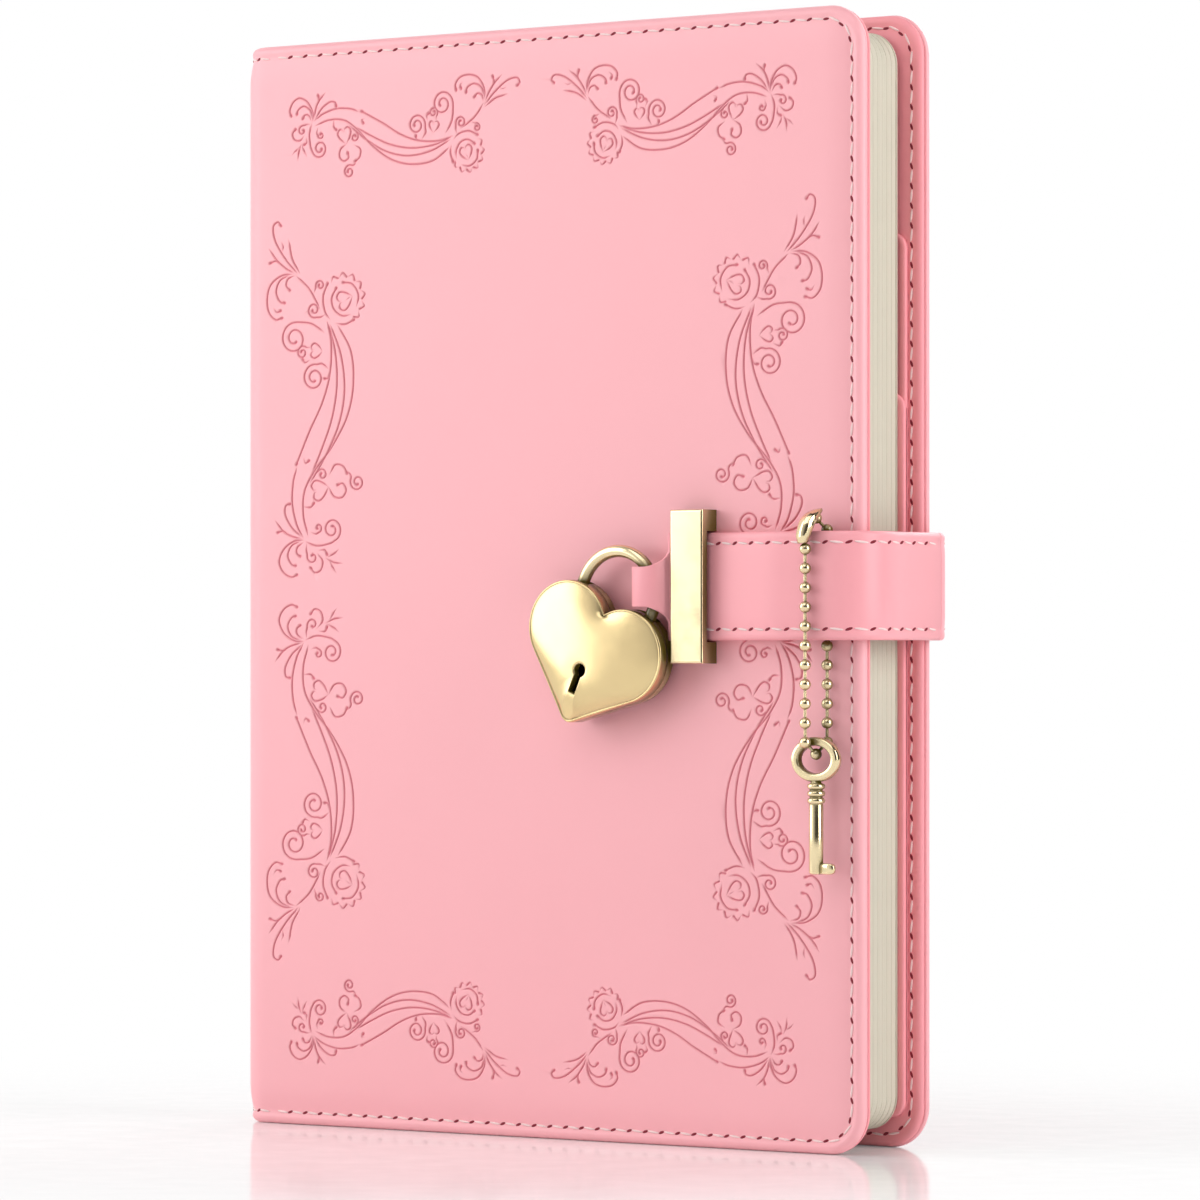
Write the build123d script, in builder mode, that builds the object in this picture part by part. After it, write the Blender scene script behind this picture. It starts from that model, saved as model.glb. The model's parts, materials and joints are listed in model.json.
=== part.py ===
from build123d import *
import math
import os

# Diary with padded leather covers, a locking strap, a heart padlock and a key on a ball chain.
# It stands upright: spine at -X, fore edge at +X, front cover facing -Y, foot of the covers at Z = 0.
# The origin is the middle of the whole, strap and padlock included, at the foot.

# Book
cover_width = 148.0
cover_height = 215.0
book_thickness = 25.5
cover_corner = 8.0
spine_round = 6.0

# Layers of a cover, from the outside in
leather = 0.7
foam = 0.6
board = 1.4
lining = 1.7
cover_rim = 1.2
edge_round = 1.4
lining_round = 0.8
lining_margin = 0.3
layer_play = 0.1
hinge_gap = 0.1
hinge_flex = 3.0

# Seam round each cover
stitch_inset = 2.5
thread_width = 0.6
thread_depth = 0.35
thread_play = 0.05

# Spine and pages
spine_board = 1.4
spine_cloth = 0.4
page_fore_inset = 4.8
page_end_inset = 3.5
page_corner = 6.5
section_count = 9
leaf = 0.3
leaf_gap = 0.1
leaf_root = 9.0

# Card pockets on the inside of the back cover
pocket_leather = 0.6
pocket_side = 12.0
pocket_foot = 6.0
upper_pocket_top = 173.4
lower_pocket_top = 143.2
pocket_seam_gap = 0.4

# Strap
strap_width = 20.4
strap_face_layer = 1.0
strap_back_layer = 0.7
strap_height = 106.4
strap_rest = 0.5
strap_lift = 2.9
strap_side_gap = 1.6
strap_front_bend = 7.2
strap_rear_bend = 3.2
strap_ease = 25.0
lift_start = 2.8
lift_length = 12.5
strap_cut = 0.2
strap_cut_gap = 0.1
tail_length = 45.0

# Tongue loop that holds the padlock
tongue_width = 7.6
tongue_flare = 3.4
loop_bore = 5.3
loop_wall = 0.8
loop_rest = 0.75
loop_to_keeper = 5.0
loop_to_strap = 3.9
strap_end_strip = 1.0

# Keeper bridge over the strap
keeper_width = 7.4
keeper_height = 29.1
keeper_plate = 1.6
keeper_gap = 3.3
keeper_play = 0.3
keeper_round = 0.4
keeper_to_fore = 36.2
screw_shank = 1.5
screw_head = 4.0
screw_head_height = 0.6
screw_play = 0.1
screw_reach = 2.3

# Heart padlock, in its own plane: notch between the lobes near its local origin
padlock_tilt = 24.0
lobe_radius = 9.0
lobe_offset = 7.0
lobe_drop = 6.0
heart_tip = 23.3
tip_round = 2.0
notch_round = 0.8
heart_wall = 1.0
heart_rim = 2.0
dome_rise = 2.0
heart_back = 2.6
back_floor = 0.9
front_cavity = 1.6
back_round = 1.2
key_drop = 12.0
keyhole_bore = 3.0
keyhole_slot = 1.7
keyhole_length = 4.9

# Shackle and lock works
wire = 2.4
leg_offset = 8.5
arch_height = 3.6
shackle_drop = 1.6
pivot_drop = 4.5
toe_drop = 6.0
shackle_bulge = 1.2
shackle_swing = 40.0
leg_play = 0.4
eye_radius = 2.0
eye_thickness = 2.4
pin_diameter = 1.5
pin_fit = 0.05
notch_depth = 1.1
notch_height = 2.2
bolt_thickness = 0.8
bolt_height = 1.4
bolt_tail = 2.9
bolt_entry = 0.9
barrel_radius = 3.3
barrel_height = 1.25
barrel_keyway = 2.9
seat_wall = 0.5
seat_play = 0.1
seat_height = 0.8
drive_pin = 1.0
drive_radius = 2.5
drive_turn = 90.0
drive_play = 0.25
rivet_diameter = 1.8
lobe_rivet_out = 11.0
lobe_rivet_drop = 8.0
key_rivet_out = 5.0
spring_strip = 0.3
spring_rise = 0.7
spring_gap = 0.4
spring_length = 5.0

# Ball chain
bead = 2.2
bead_count = 26
rod = 0.6
chain_to_fore = 7.6
chain_spread = 0.95
chain_clear = 0.35
chain_over_strap = 0.1
connector_bore = 2.4
connector_wall = 0.2
connector_turn = 110.0

# Key
bow_width = 10.3
bow_height = 8.4
bow_band = 1.6
key_thickness = 2.0
key_rest = 0.5
bow_round = 0.5
bow_drop = 32.4
key_shaft = 2.7
key_length = 25.6
collar = 4.0
collar_height = 1.0
collar_step = 1.35
collar_count = 3
bit_reach = 2.8
bit_height = 2.1
bit_thickness = 1.4

# Places worked out from the sizes above
tray_depth = leather + foam + board
cover_thickness = tray_depth + lining
strap_thickness = strap_face_layer + strap_back_layer
loop_radius = loop_bore / 2 + loop_wall
heart_dome = heart_rim + dome_rise
lock_reach = loop_rest + loop_radius + heart_dome

spine_x = -(cover_width + strap_side_gap + strap_thickness) / 2
fore_x = spine_x + cover_width
hinge_x = spine_x + spine_round
front_y = lock_reach - (lock_reach + book_thickness + strap_thickness) / 2
back_y = front_y + book_thickness

block_x = spine_x + leather + spine_board + spine_cloth
block_front = front_y + cover_thickness + leaf_gap + leaf + leaf_gap
block_back = back_y - cover_thickness - 2 * pocket_leather - leaf_gap - leaf
section_thickness = (block_back - block_front) / section_count

keeper_x = fore_x - keeper_to_fore
keeper_opening = strap_width + 2 * keeper_play
keeper_leg = (keeper_height - keeper_opening) / 2
screw_spread = keeper_height - keeper_leg

loop_x = keeper_x - keeper_width / 2 - loop_to_keeper
loop_y = front_y - loop_rest - loop_radius
strap_end_x = loop_x + loop_to_strap + strap_end_strip

tilt = math.radians(padlock_tilt)
arch_x = loop_x + shackle_bulge - leg_offset
heart_plane = Plane(
    origin=(
        arch_x - arch_height * math.sin(tilt),
        loop_y,
        strap_height - shackle_drop - arch_height * math.cos(tilt),
    ),
    x_dir=(math.cos(tilt), 0, -math.sin(tilt)),
    z_dir=(0, -1, 0),
)
back_cavity = heart_back - back_floor
drive_stroke = 2 * drive_radius * math.sin(math.radians(drive_turn / 2))

strap_middle_y = front_y - strap_lift - strap_thickness / 2
chain_x = fore_x - chain_to_fore
chain_depth = strap_thickness / 2 + chain_clear + bead / 2
chain_radius = math.hypot(chain_spread, chain_depth)
chain_top = strap_height + strap_width / 2 - chain_over_strap
bow_z = strap_height - bow_drop
bow_bar_z = bow_z + bow_height / 2 - bow_band / 2
chain_foot = bow_bar_z + chain_radius - bead / 2 - key_rest - bow_band / 2
chain_run = chain_top - chain_foot
chain_pitch = (2 * chain_run + 2 * math.pi * chain_radius) / bead_count


def upright(depth):
    """Plane parallel to the covers at a depth in Y; its axes are X and Z and it faces the front."""
    return Plane.XZ.offset(-depth)


def leaf_shape(start_x, end_x, inset, corner, mode=Mode.ADD):
    """Upright sheet, square at the spine side and with round corners at the fore edge."""
    width = end_x - start_x
    height = cover_height - 2 * inset
    with Locations((start_x, inset)):
        RectangleRounded(width, height, corner, align=(Align.MIN, Align.MIN), mode=mode)
        Rectangle(width / 2, height, align=(Align.MIN, Align.MIN), mode=mode)


def cover_shape(start_x, inset, mode=Mode.ADD):
    """Cover outline drawn in from its top, fore and bottom edges."""
    leaf_shape(start_x, fore_x - inset, inset, cover_corner - inset, mode)


def seam_shape(width):
    """Line of stitching along the top, fore and bottom edges of a cover."""
    start_x = hinge_x + hinge_flex
    cover_shape(start_x, stitch_inset - width / 2)
    cover_shape(start_x, stitch_inset + width / 2, Mode.SUBTRACT)


def page_shape(start_x):
    """Outline of a page."""
    leaf_shape(start_x, fore_x - page_fore_inset, page_end_inset, page_corner)


def outer_edges(part, last):
    """Edges of a cover layer's foremost or rearmost face, apart from the one at the hinge."""
    face = part.faces().sort_by(Axis.Y)[-1 if last else 0]
    return face.edges().sort_by(Axis.X)[1:]


def cover_leather(outer_y, inward):
    """Outer leather of a cover, turned in round the board on three sides."""
    with BuildPart() as piece:
        with BuildSketch(upright(outer_y)):
            cover_shape(hinge_x + hinge_gap, 0)
        extrude(amount=-inward * tray_depth)
        fillet(outer_edges(piece, inward < 0), edge_round)
        with BuildSketch(upright(outer_y + inward * leather)):
            cover_shape(hinge_x, cover_rim)
        extrude(amount=-inward * (tray_depth - leather), mode=Mode.SUBTRACT)
        with BuildSketch(upright(outer_y)):
            seam_shape(thread_width + 2 * thread_play)
        extrude(amount=-inward * thread_depth, mode=Mode.SUBTRACT)
    return piece.part


def cover_layer(outer_y, inward, depth, thickness):
    """Flat layer of a cover inside the turned-in leather."""
    with BuildPart() as piece:
        with BuildSketch(upright(outer_y + inward * depth)):
            cover_shape(hinge_x + hinge_flex, cover_rim + layer_play)
        extrude(amount=-inward * thickness)
    return piece.part


def cover_lining(outer_y, inward):
    """Padded inside panel of a cover, sewn to the outer leather all round."""
    with BuildPart() as piece:
        with BuildSketch(upright(outer_y + inward * tray_depth)):
            cover_shape(hinge_x + hinge_flex, lining_margin)
        extrude(amount=-inward * lining)
        fillet(outer_edges(piece, inward > 0), lining_round)
        with BuildSketch(upright(outer_y + inward * cover_thickness)):
            seam_shape(thread_width + 2 * thread_play)
        extrude(amount=inward * thread_depth, mode=Mode.SUBTRACT)
    return piece.part


def cover_thread(outer_y, inward):
    """Thread of a cover's seam, seen on the leather and on the lining."""
    with BuildPart() as piece:
        with BuildSketch(upright(outer_y)):
            seam_shape(thread_width)
        extrude(amount=-inward * thread_depth)
        with BuildSketch(upright(outer_y + inward * cover_thickness)):
            seam_shape(thread_width)
        extrude(amount=inward * thread_depth)
    return piece.part


def finish(part, name):
    """Name a piece and write it."""
    part.label = name
    export_step(part, f"parts/{name}.step")


os.makedirs("parts", exist_ok=True)

# Back cover
finish(cover_leather(back_y, -1), "back_leather")
finish(cover_layer(back_y, -1, leather, foam), "back_foam")
finish(cover_layer(back_y, -1, leather + foam, board), "back_board")
finish(cover_lining(back_y, -1), "back_lining")
finish(cover_thread(back_y, -1), "back_thread")

# Card pockets, stepped panels on the back cover's lining
pocket_end_x = fore_x - stitch_inset - thread_width / 2 - pocket_seam_gap
pocket_start_x = hinge_x + pocket_side
pocket_tops = {"upper_pocket": upper_pocket_top, "lower_pocket": lower_pocket_top}
for order, (pocket_name, pocket_top) in enumerate(pocket_tops.items()):
    with BuildPart() as pocket:
        with BuildSketch(upright(back_y - cover_thickness - order * pocket_leather)):
            with Locations((pocket_start_x, pocket_foot)):
                Rectangle(
                    pocket_end_x - pocket_start_x, pocket_top - pocket_foot, align=(Align.MIN, Align.MIN)
                )
        extrude(amount=pocket_leather)
    finish(pocket.part, pocket_name)

# Front cover
keeper_screws_at = [(keeper_x, strap_height - screw_spread / 2), (keeper_x, strap_height + screw_spread / 2)]
screw_hole = screw_shank / 2 + screw_play

with BuildPart() as front_leather:
    add(cover_leather(front_y, 1))
    with BuildSketch(upright(front_y)):
        with Locations(*keeper_screws_at):
            Circle(screw_hole)
    extrude(amount=-leather, mode=Mode.SUBTRACT)
finish(front_leather.part, "front_leather")

with BuildPart() as front_foam:
    add(cover_layer(front_y, 1, leather, foam))
    with BuildSketch(upright(front_y + leather)):
        with Locations(*keeper_screws_at):
            Circle(screw_hole)
    extrude(amount=-foam, mode=Mode.SUBTRACT)
finish(front_foam.part, "front_foam")

with BuildPart() as front_board:
    add(cover_layer(front_y, 1, leather + foam, board))
    with BuildSketch(upright(front_y + leather + foam)):
        with Locations(*keeper_screws_at):
            Circle(screw_hole)
    extrude(amount=-board, mode=Mode.SUBTRACT)
    with BuildSketch(upright(front_y + tray_depth)):
        with Locations(*keeper_screws_at):
            Circle(screw_head / 2 + screw_play)
    extrude(amount=screw_head_height, mode=Mode.SUBTRACT)
finish(front_board.part, "front_board")

finish(cover_lining(front_y, 1), "front_lining")
finish(cover_thread(front_y, 1), "front_thread")

# Spine
with BuildPart() as spine_leather:
    with BuildSketch(Plane.XY):
        with Locations((spine_x, front_y)):
            Rectangle(2 * spine_round, book_thickness, align=(Align.MIN, Align.MIN))
        fillet(vertices().group_by(Axis.X)[0], spine_round)
        with BuildLine(mode=Mode.PRIVATE) as hollow:
            reach_x = spine_x + 2 * spine_round
            FilletPolyline(
                (reach_x, front_y + leather),
                (spine_x + leather, front_y + leather),
                (spine_x + leather, back_y - leather),
                (reach_x, back_y - leather),
                radius=spine_round - leather,
            )
            Line((reach_x, back_y - leather), (reach_x, front_y + leather))
        make_face(hollow.edges(), mode=Mode.SUBTRACT)
        with Locations((hinge_x - hinge_gap, front_y)):
            Rectangle(
                2 * spine_round, book_thickness, align=(Align.MIN, Align.MIN), mode=Mode.SUBTRACT
            )
    extrude(amount=cover_height)
finish(spine_leather.part, "spine_leather")

with BuildPart() as spine_stiffener:
    with BuildSketch(Plane.XY.offset(cover_rim)):
        with Locations((spine_x + leather, front_y + spine_round)):
            Rectangle(spine_board, book_thickness - 2 * spine_round, align=(Align.MIN, Align.MIN))
    extrude(amount=cover_height - 2 * cover_rim)
finish(spine_stiffener.part, "spine_board")

with BuildPart() as spine_cloth_strip:
    with BuildSketch(Plane.XY.offset(page_end_inset)):
        with Locations((spine_x + leather + spine_board, block_front)):
            Rectangle(spine_cloth, block_back - block_front, align=(Align.MIN, Align.MIN))
    extrude(amount=cover_height - 2 * page_end_inset)
finish(spine_cloth_strip.part, "spine_cloth")

# Pages, in sewn sections, with an endpaper behind and a flyleaf in front
for number in range(section_count):
    with BuildPart() as section:
        with BuildSketch(upright(block_front + number * section_thickness)):
            page_shape(block_x)
        extrude(amount=-section_thickness)
    finish(section.part, f"page_section_{number + 1}")

with BuildPart() as endpaper:
    with BuildSketch(upright(block_back)):
        page_shape(block_x)
    extrude(amount=-leaf)
finish(endpaper.part, "rear_endpaper")

with BuildPart() as flyleaf:
    with BuildSketch(upright(front_y + cover_thickness + leaf_gap)):
        page_shape(spine_x + leaf_root)
    extrude(amount=-leaf)
finish(flyleaf.part, "front_flyleaf")

# Keeper bridge and its screws
with BuildPart() as keeper:
    with BuildSketch(upright(front_y)):
        with Locations((keeper_x, strap_height)):
            Rectangle(keeper_width, keeper_height)
    extrude(amount=keeper_gap + keeper_plate)
    fillet(keeper.faces().sort_by(Axis.Y)[0].edges(), keeper_round)
    with BuildSketch(upright(front_y)):
        with Locations((keeper_x, strap_height)):
            Rectangle(keeper_width, keeper_opening)
    extrude(amount=keeper_gap, mode=Mode.SUBTRACT)
    with BuildSketch(upright(front_y)):
        with Locations(*keeper_screws_at):
            Circle(screw_shank / 2 + pin_fit)
    extrude(amount=screw_reach + screw_play, mode=Mode.SUBTRACT)
finish(keeper.part, "strap_keeper")

with BuildPart() as keeper_screws:
    with BuildSketch(upright(front_y + tray_depth)):
        with Locations(*keeper_screws_at):
            Circle(screw_head / 2)
    extrude(amount=screw_head_height)
    with BuildSketch(upright(front_y + tray_depth)):
        with Locations(*keeper_screws_at):
            Circle(screw_shank / 2)
    extrude(amount=tray_depth + screw_reach)
finish(keeper_screws.part, "keeper_screws")

# Strap: its front run lies under the keeper, lifts over the chain and turns round the fore edge
strap_side_x = fore_x + strap_side_gap + strap_back_layer
strap_foot = strap_height - strap_width / 2
under_y = front_y - strap_rest - strap_back_layer
lifted_y = front_y - strap_lift - strap_back_layer
lift_x = keeper_x + keeper_width / 2 + lift_start
tail_y = back_y + strap_back_layer
cut_y = tail_y - strap_rear_bend - strap_cut


def strap_front_path():
    """Line between the two layers of the strap, from the keeper to its rear bend."""
    FilletPolyline(
        (strap_end_x, under_y),
        (lift_x, under_y),
        (lift_x + lift_length, lifted_y),
        (strap_side_x, lifted_y),
        (strap_side_x, cut_y - strap_cut_gap / 2),
        radius=[strap_ease, strap_ease, strap_front_bend],
    )


def strap_tail_path():
    """Line between the two layers of the strap, from its rear bend to the end sewn on the back."""
    FilletPolyline(
        (strap_side_x, cut_y + strap_cut_gap / 2),
        (strap_side_x, tail_y),
        (fore_x - tail_length, tail_y),
        radius=strap_rear_bend,
    )


def strap_layer(path, thickness, side):
    """One layer of the strap beside a path."""
    with BuildPart() as piece:
        with BuildSketch(Plane.XY.offset(strap_foot)):
            with BuildLine():
                path()
                offset(amount=thickness, side=side)
            make_face()
        extrude(amount=strap_width)
    return piece.part


finish(strap_layer(strap_front_path, strap_face_layer, Side.RIGHT), "strap_face")
finish(strap_layer(strap_front_path, strap_back_layer, Side.LEFT), "strap_backing")
finish(strap_layer(strap_tail_path, strap_face_layer, Side.RIGHT), "strap_tail_face")
finish(strap_layer(strap_tail_path, strap_back_layer, Side.LEFT), "strap_tail_backing")

# Tongue of the strap, folded into a loop round the shackle
with BuildPart() as strap_loop:
    with BuildSketch(Plane.XY.offset(strap_foot)):
        with Locations((loop_x, loop_y)):
            Circle(loop_radius)
        with Locations((strap_end_x, front_y - strap_rest)):
            Rectangle(strap_end_strip, strap_thickness, align=(Align.MAX, Align.MAX))
        make_hull()
        with Locations((loop_x, loop_y)):
            Circle(loop_bore / 2, mode=Mode.SUBTRACT)
    extrude(amount=strap_width)
    with BuildSketch(upright(front_y)):
        with Locations((strap_end_x, strap_height)):
            Rectangle(strap_end_x - loop_x + loop_radius, tongue_width, align=(Align.MAX, Align.CENTER))
            Rectangle(strap_end_strip, strap_width, align=(Align.MAX, Align.CENTER))
        fillet(vertices().group_by(Axis.X)[1].sort_by(Axis.Y)[1:3], tongue_flare)
    extrude(amount=loop_rest + 2 * loop_radius, mode=Mode.INTERSECT)
finish(strap_loop.part, "strap_loop")

# Padlock
lobe_to_tip = heart_tip - lobe_drop
tip_distance = math.hypot(lobe_offset, lobe_to_tip)
side_slope = math.atan2(lobe_to_tip, lobe_offset) - math.asin(lobe_radius / tip_distance)
side_u = lobe_offset + lobe_radius * math.sin(side_slope)
side_v = -lobe_drop - lobe_radius * math.cos(side_slope)
heart_half = lobe_offset + lobe_radius
dome_radius = (heart_half**2 + dome_rise**2) / (2 * dome_rise)
pivot_at = (-leg_offset, -pivot_drop)
keyhole_at = (0, -key_drop)
rivets_at = [
    (-lobe_rivet_out, -lobe_rivet_drop),
    (lobe_rivet_out, -lobe_rivet_drop),
    (-key_rivet_out, -key_drop),
    (key_rivet_out, -key_drop),
]


def heart_shape():
    """Heart of two round lobes and straight sides that run to the tip."""
    with Locations((-lobe_offset, -lobe_drop), (lobe_offset, -lobe_drop)):
        Circle(lobe_radius)
    Polygon(
        (0, -heart_tip),
        (side_u, side_v),
        (lobe_offset, -lobe_drop),
        (-lobe_offset, -lobe_drop),
        (-side_u, side_v),
        align=None,
    )
    middle = vertices().filter_by(lambda v: abs(v.X) < notch_round / 2).sort_by(Axis.Y)
    fillet(middle[0], tip_round)
    fillet(middle[-1], notch_round)


def cavity_shape():
    """Hollow inside the heart."""
    heart_shape()
    offset(amount=-heart_wall)


# Ways for the shackle: the hinged leg swings in one, the free leg's toe leaves by the other
leg_half = wire / 2 + leg_play
leg_reach = lobe_radius + arch_height
toe_rise = pivot_drop - lobe_drop + lobe_radius
toe_angle = math.asin((toe_rise + toe_drop - pivot_drop) / (2 * leg_offset))
toe_shift = 2 * leg_offset * (1 - math.cos(toe_angle))
toe_way = toe_shift + 2 * leg_half
with BuildPart() as leg_ways:
    with BuildSketch(heart_plane.offset(-leg_half)):
        for angle in (0, shackle_swing):
            with Locations(Location(pivot_at, angle)):
                Rectangle(2 * leg_half, leg_reach, align=(Align.CENTER, Align.MIN))
        make_hull()
        with Locations((leg_offset + leg_half, -pivot_drop)):
            Rectangle(toe_way, leg_reach, align=(Align.MAX, Align.MIN))
    extrude(amount=2 * leg_half)


with BuildPart() as padlock_front:
    with BuildSketch(heart_plane):
        heart_shape()
    extrude(amount=heart_dome)
    with Locations(heart_plane * Pos(0, -lobe_drop, heart_dome - dome_radius)):
        Sphere(dome_radius, mode=Mode.INTERSECT)
    with BuildSketch(heart_plane):
        cavity_shape()
    extrude(amount=front_cavity, mode=Mode.SUBTRACT)
    with BuildSketch(heart_plane):
        with Locations(keyhole_at):
            Circle(keyhole_bore / 2)
            Rectangle(keyhole_slot, keyhole_length, align=(Align.CENTER, Align.MAX))
    extrude(amount=heart_dome, mode=Mode.SUBTRACT)
    add(leg_ways.part, mode=Mode.SUBTRACT)
finish(padlock_front.part, "padlock_front")

with BuildPart() as padlock_back:
    with BuildSketch(heart_plane):
        heart_shape()
    extrude(amount=-heart_back)
    fillet(padlock_back.faces().sort_by(Axis.Y)[-1].edges(), back_round)
    with BuildSketch(heart_plane):
        cavity_shape()
    extrude(amount=-back_cavity, mode=Mode.SUBTRACT)
    with BuildSketch(heart_plane.offset(-back_cavity)):
        with Locations(keyhole_at):
            Circle(barrel_radius + seat_play + seat_wall)
            Circle(barrel_radius + seat_play, mode=Mode.SUBTRACT)
    extrude(amount=seat_height)
    add(leg_ways.part, mode=Mode.SUBTRACT)
finish(padlock_back.part, "padlock_back")

with BuildPart() as padlock_rivets:
    with BuildSketch(heart_plane.offset(-back_cavity)):
        with Locations(*rivets_at):
            Circle(rivet_diameter / 2)
    extrude(amount=back_cavity + front_cavity)
finish(padlock_rivets.part, "padlock_rivets")

with BuildPart() as shackle:
    with BuildLine(heart_plane) as bow:
        Line(pivot_at, (-leg_offset, arch_height))
        ThreePointArc((-leg_offset, arch_height), (0, arch_height + leg_offset), (leg_offset, arch_height))
        Line((leg_offset, arch_height), (leg_offset, -toe_drop))
    with BuildSketch(Plane(origin=bow.line @ 0, z_dir=bow.line % 0)):
        Circle(wire / 2)
    sweep()
    with BuildSketch(heart_plane.offset(-eye_thickness / 2)):
        with Locations(pivot_at):
            Circle(eye_radius)
    extrude(amount=eye_thickness)
    with BuildSketch(heart_plane.offset(-eye_thickness)):
        with Locations(pivot_at):
            Circle(pin_diameter / 2 + pin_fit)
    extrude(amount=2 * eye_thickness, mode=Mode.SUBTRACT)
    with BuildSketch(heart_plane.offset(-wire / 2)):
        with Locations((leg_offset - wire / 2, -pivot_drop)):
            Rectangle(2 * notch_depth, notch_height)
    extrude(amount=wire, mode=Mode.SUBTRACT)
finish(shackle.part, "shackle")

with BuildPart() as pivot_pin:
    with BuildSketch(heart_plane.offset(-back_cavity)):
        with Locations(pivot_at):
            Circle(pin_diameter / 2)
    extrude(amount=back_cavity + front_cavity)
finish(pivot_pin.part, "shackle_pivot_pin")

# Lock works: the key turns the barrel, whose pin slides the bolt into the shackle's notch
drive_side = drive_radius * math.sin(math.radians(drive_turn / 2))
drive_lift = drive_radius * math.cos(math.radians(drive_turn / 2))
barrel_top = barrel_height - back_cavity
bolt_tip = leg_offset - wire / 2 + bolt_entry - drive_stroke
bolt_foot = -key_drop + drive_lift - drive_pin - drive_play
bolt_top = -pivot_drop + bolt_height / 2
spring_u = -drive_side - bolt_tail / 2 - spring_gap - spring_strip
spring_v = (bolt_foot + bolt_top) / 2

with BuildPart() as barrel:
    with BuildSketch(heart_plane.offset(-back_cavity)):
        with Locations(keyhole_at):
            Circle(barrel_radius)
            Circle(barrel_keyway / 2, mode=Mode.SUBTRACT)
            Rectangle(keyhole_slot, barrel_radius, align=(Align.CENTER, Align.MAX), mode=Mode.SUBTRACT)
    extrude(amount=barrel_height)
    with BuildSketch(heart_plane.offset(barrel_top)):
        with Locations((-drive_side, -key_drop + drive_lift)):
            Circle(drive_pin / 2)
    extrude(amount=bolt_thickness + drive_play)
finish(barrel.part, "lock_barrel")

with BuildPart() as bolt:
    with BuildSketch(heart_plane.offset(barrel_top + drive_play)):
        with Locations((-drive_side - bolt_tail / 2, bolt_foot)):
            Rectangle(bolt_tail, bolt_top - bolt_foot, align=(Align.MIN, Align.MIN))
        with Locations((-drive_side - bolt_tail / 2, bolt_top)):
            Rectangle(bolt_tip + drive_side + bolt_tail / 2, bolt_height, align=(Align.MIN, Align.MAX))
        with Locations((-drive_side, bolt_foot)):
            Rectangle(
                drive_pin + drive_play,
                2 * drive_pin + drive_radius,
                align=(Align.CENTER, Align.MIN),
                mode=Mode.SUBTRACT,
            )
    extrude(amount=bolt_thickness)
finish(bolt.part, "lock_bolt")

with BuildPart() as bolt_spring:
    with BuildSketch(heart_plane.offset(-back_cavity)):
        with BuildLine():
            ThreePointArc(
                (spring_u - spring_rise, spring_v - spring_length / 2),
                (spring_u, spring_v),
                (spring_u - spring_rise, spring_v + spring_length / 2),
            )
            offset(amount=spring_strip, side=Side.RIGHT)
        make_face()
    extrude(amount=back_cavity + bolt_thickness / 2)
finish(bolt_spring.part, "bolt_spring")

# Ball chain round the strap: a long loop in an upright plane that crosses the strap at a slant
chain_plane = Plane(
    origin=(chain_x, strap_middle_y, 0),
    x_dir=(chain_spread, chain_depth, 0),
    z_dir=(chain_depth, -chain_spread, 0),
)
bow_turn = math.pi * chain_radius


def chain_point(number):
    """Centre of a bead in the chain's plane, counted from the top of the loop and down the front."""
    along = (number * chain_pitch) % (2 * chain_run + 2 * bow_turn)
    if along < bow_turn / 2:
        turn = along / chain_radius
        return (-chain_radius * math.sin(turn), chain_top + chain_radius * math.cos(turn))
    along -= bow_turn / 2
    if along < chain_run:
        return (-chain_radius, chain_top - along)
    along -= chain_run
    if along < bow_turn:
        turn = along / chain_radius
        return (-chain_radius * math.cos(turn), chain_foot - chain_radius * math.sin(turn))
    along -= bow_turn
    if along < chain_run:
        return (chain_radius, chain_foot + along)
    turn = (along - chain_run) / chain_radius
    return (chain_radius * math.cos(turn), chain_top + chain_radius * math.sin(turn))


bead_points = [chain_point(number) for number in range(bead_count)]

with BuildPart() as chain_beads:
    with Locations(*[chain_plane * Pos(*point) for point in bead_points]):
        Sphere(bead / 2)
finish(chain_beads.part, "chain_beads")

with BuildPart() as chain_rods:
    for here, there in zip(bead_points, bead_points[1:] + bead_points[:1]):
        step_u = there[0] - here[0]
        step_v = there[1] - here[1]
        middle = ((here[0] + there[0]) / 2, (here[1] + there[1]) / 2)
        turn = math.degrees(math.atan2(-step_u, step_v))
        with Locations(chain_plane * Pos(*middle) * Rot(0, 0, turn) * Rot(90, 0, 0)):
            Cylinder(rod / 2, math.hypot(step_u, step_v) - bead)
finish(chain_rods.part, "chain_rods")

# Connector, a curved sleeve that closes the chain over the strap's top edge
connector_at = (chain_x, strap_middle_y, chain_top)
with BuildPart() as connector:
    with BuildSketch(Plane(origin=connector_at, x_dir=chain_plane.x_dir, z_dir=(0, 0, 1))):
        with Locations((-chain_radius, 0)):
            Circle(connector_bore / 2 + connector_wall)
            Circle(connector_bore / 2, mode=Mode.SUBTRACT)
    revolve(axis=Axis(connector_at, -chain_plane.z_dir), revolution_arc=connector_turn)
finish(connector.part, "chain_connector")

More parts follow.
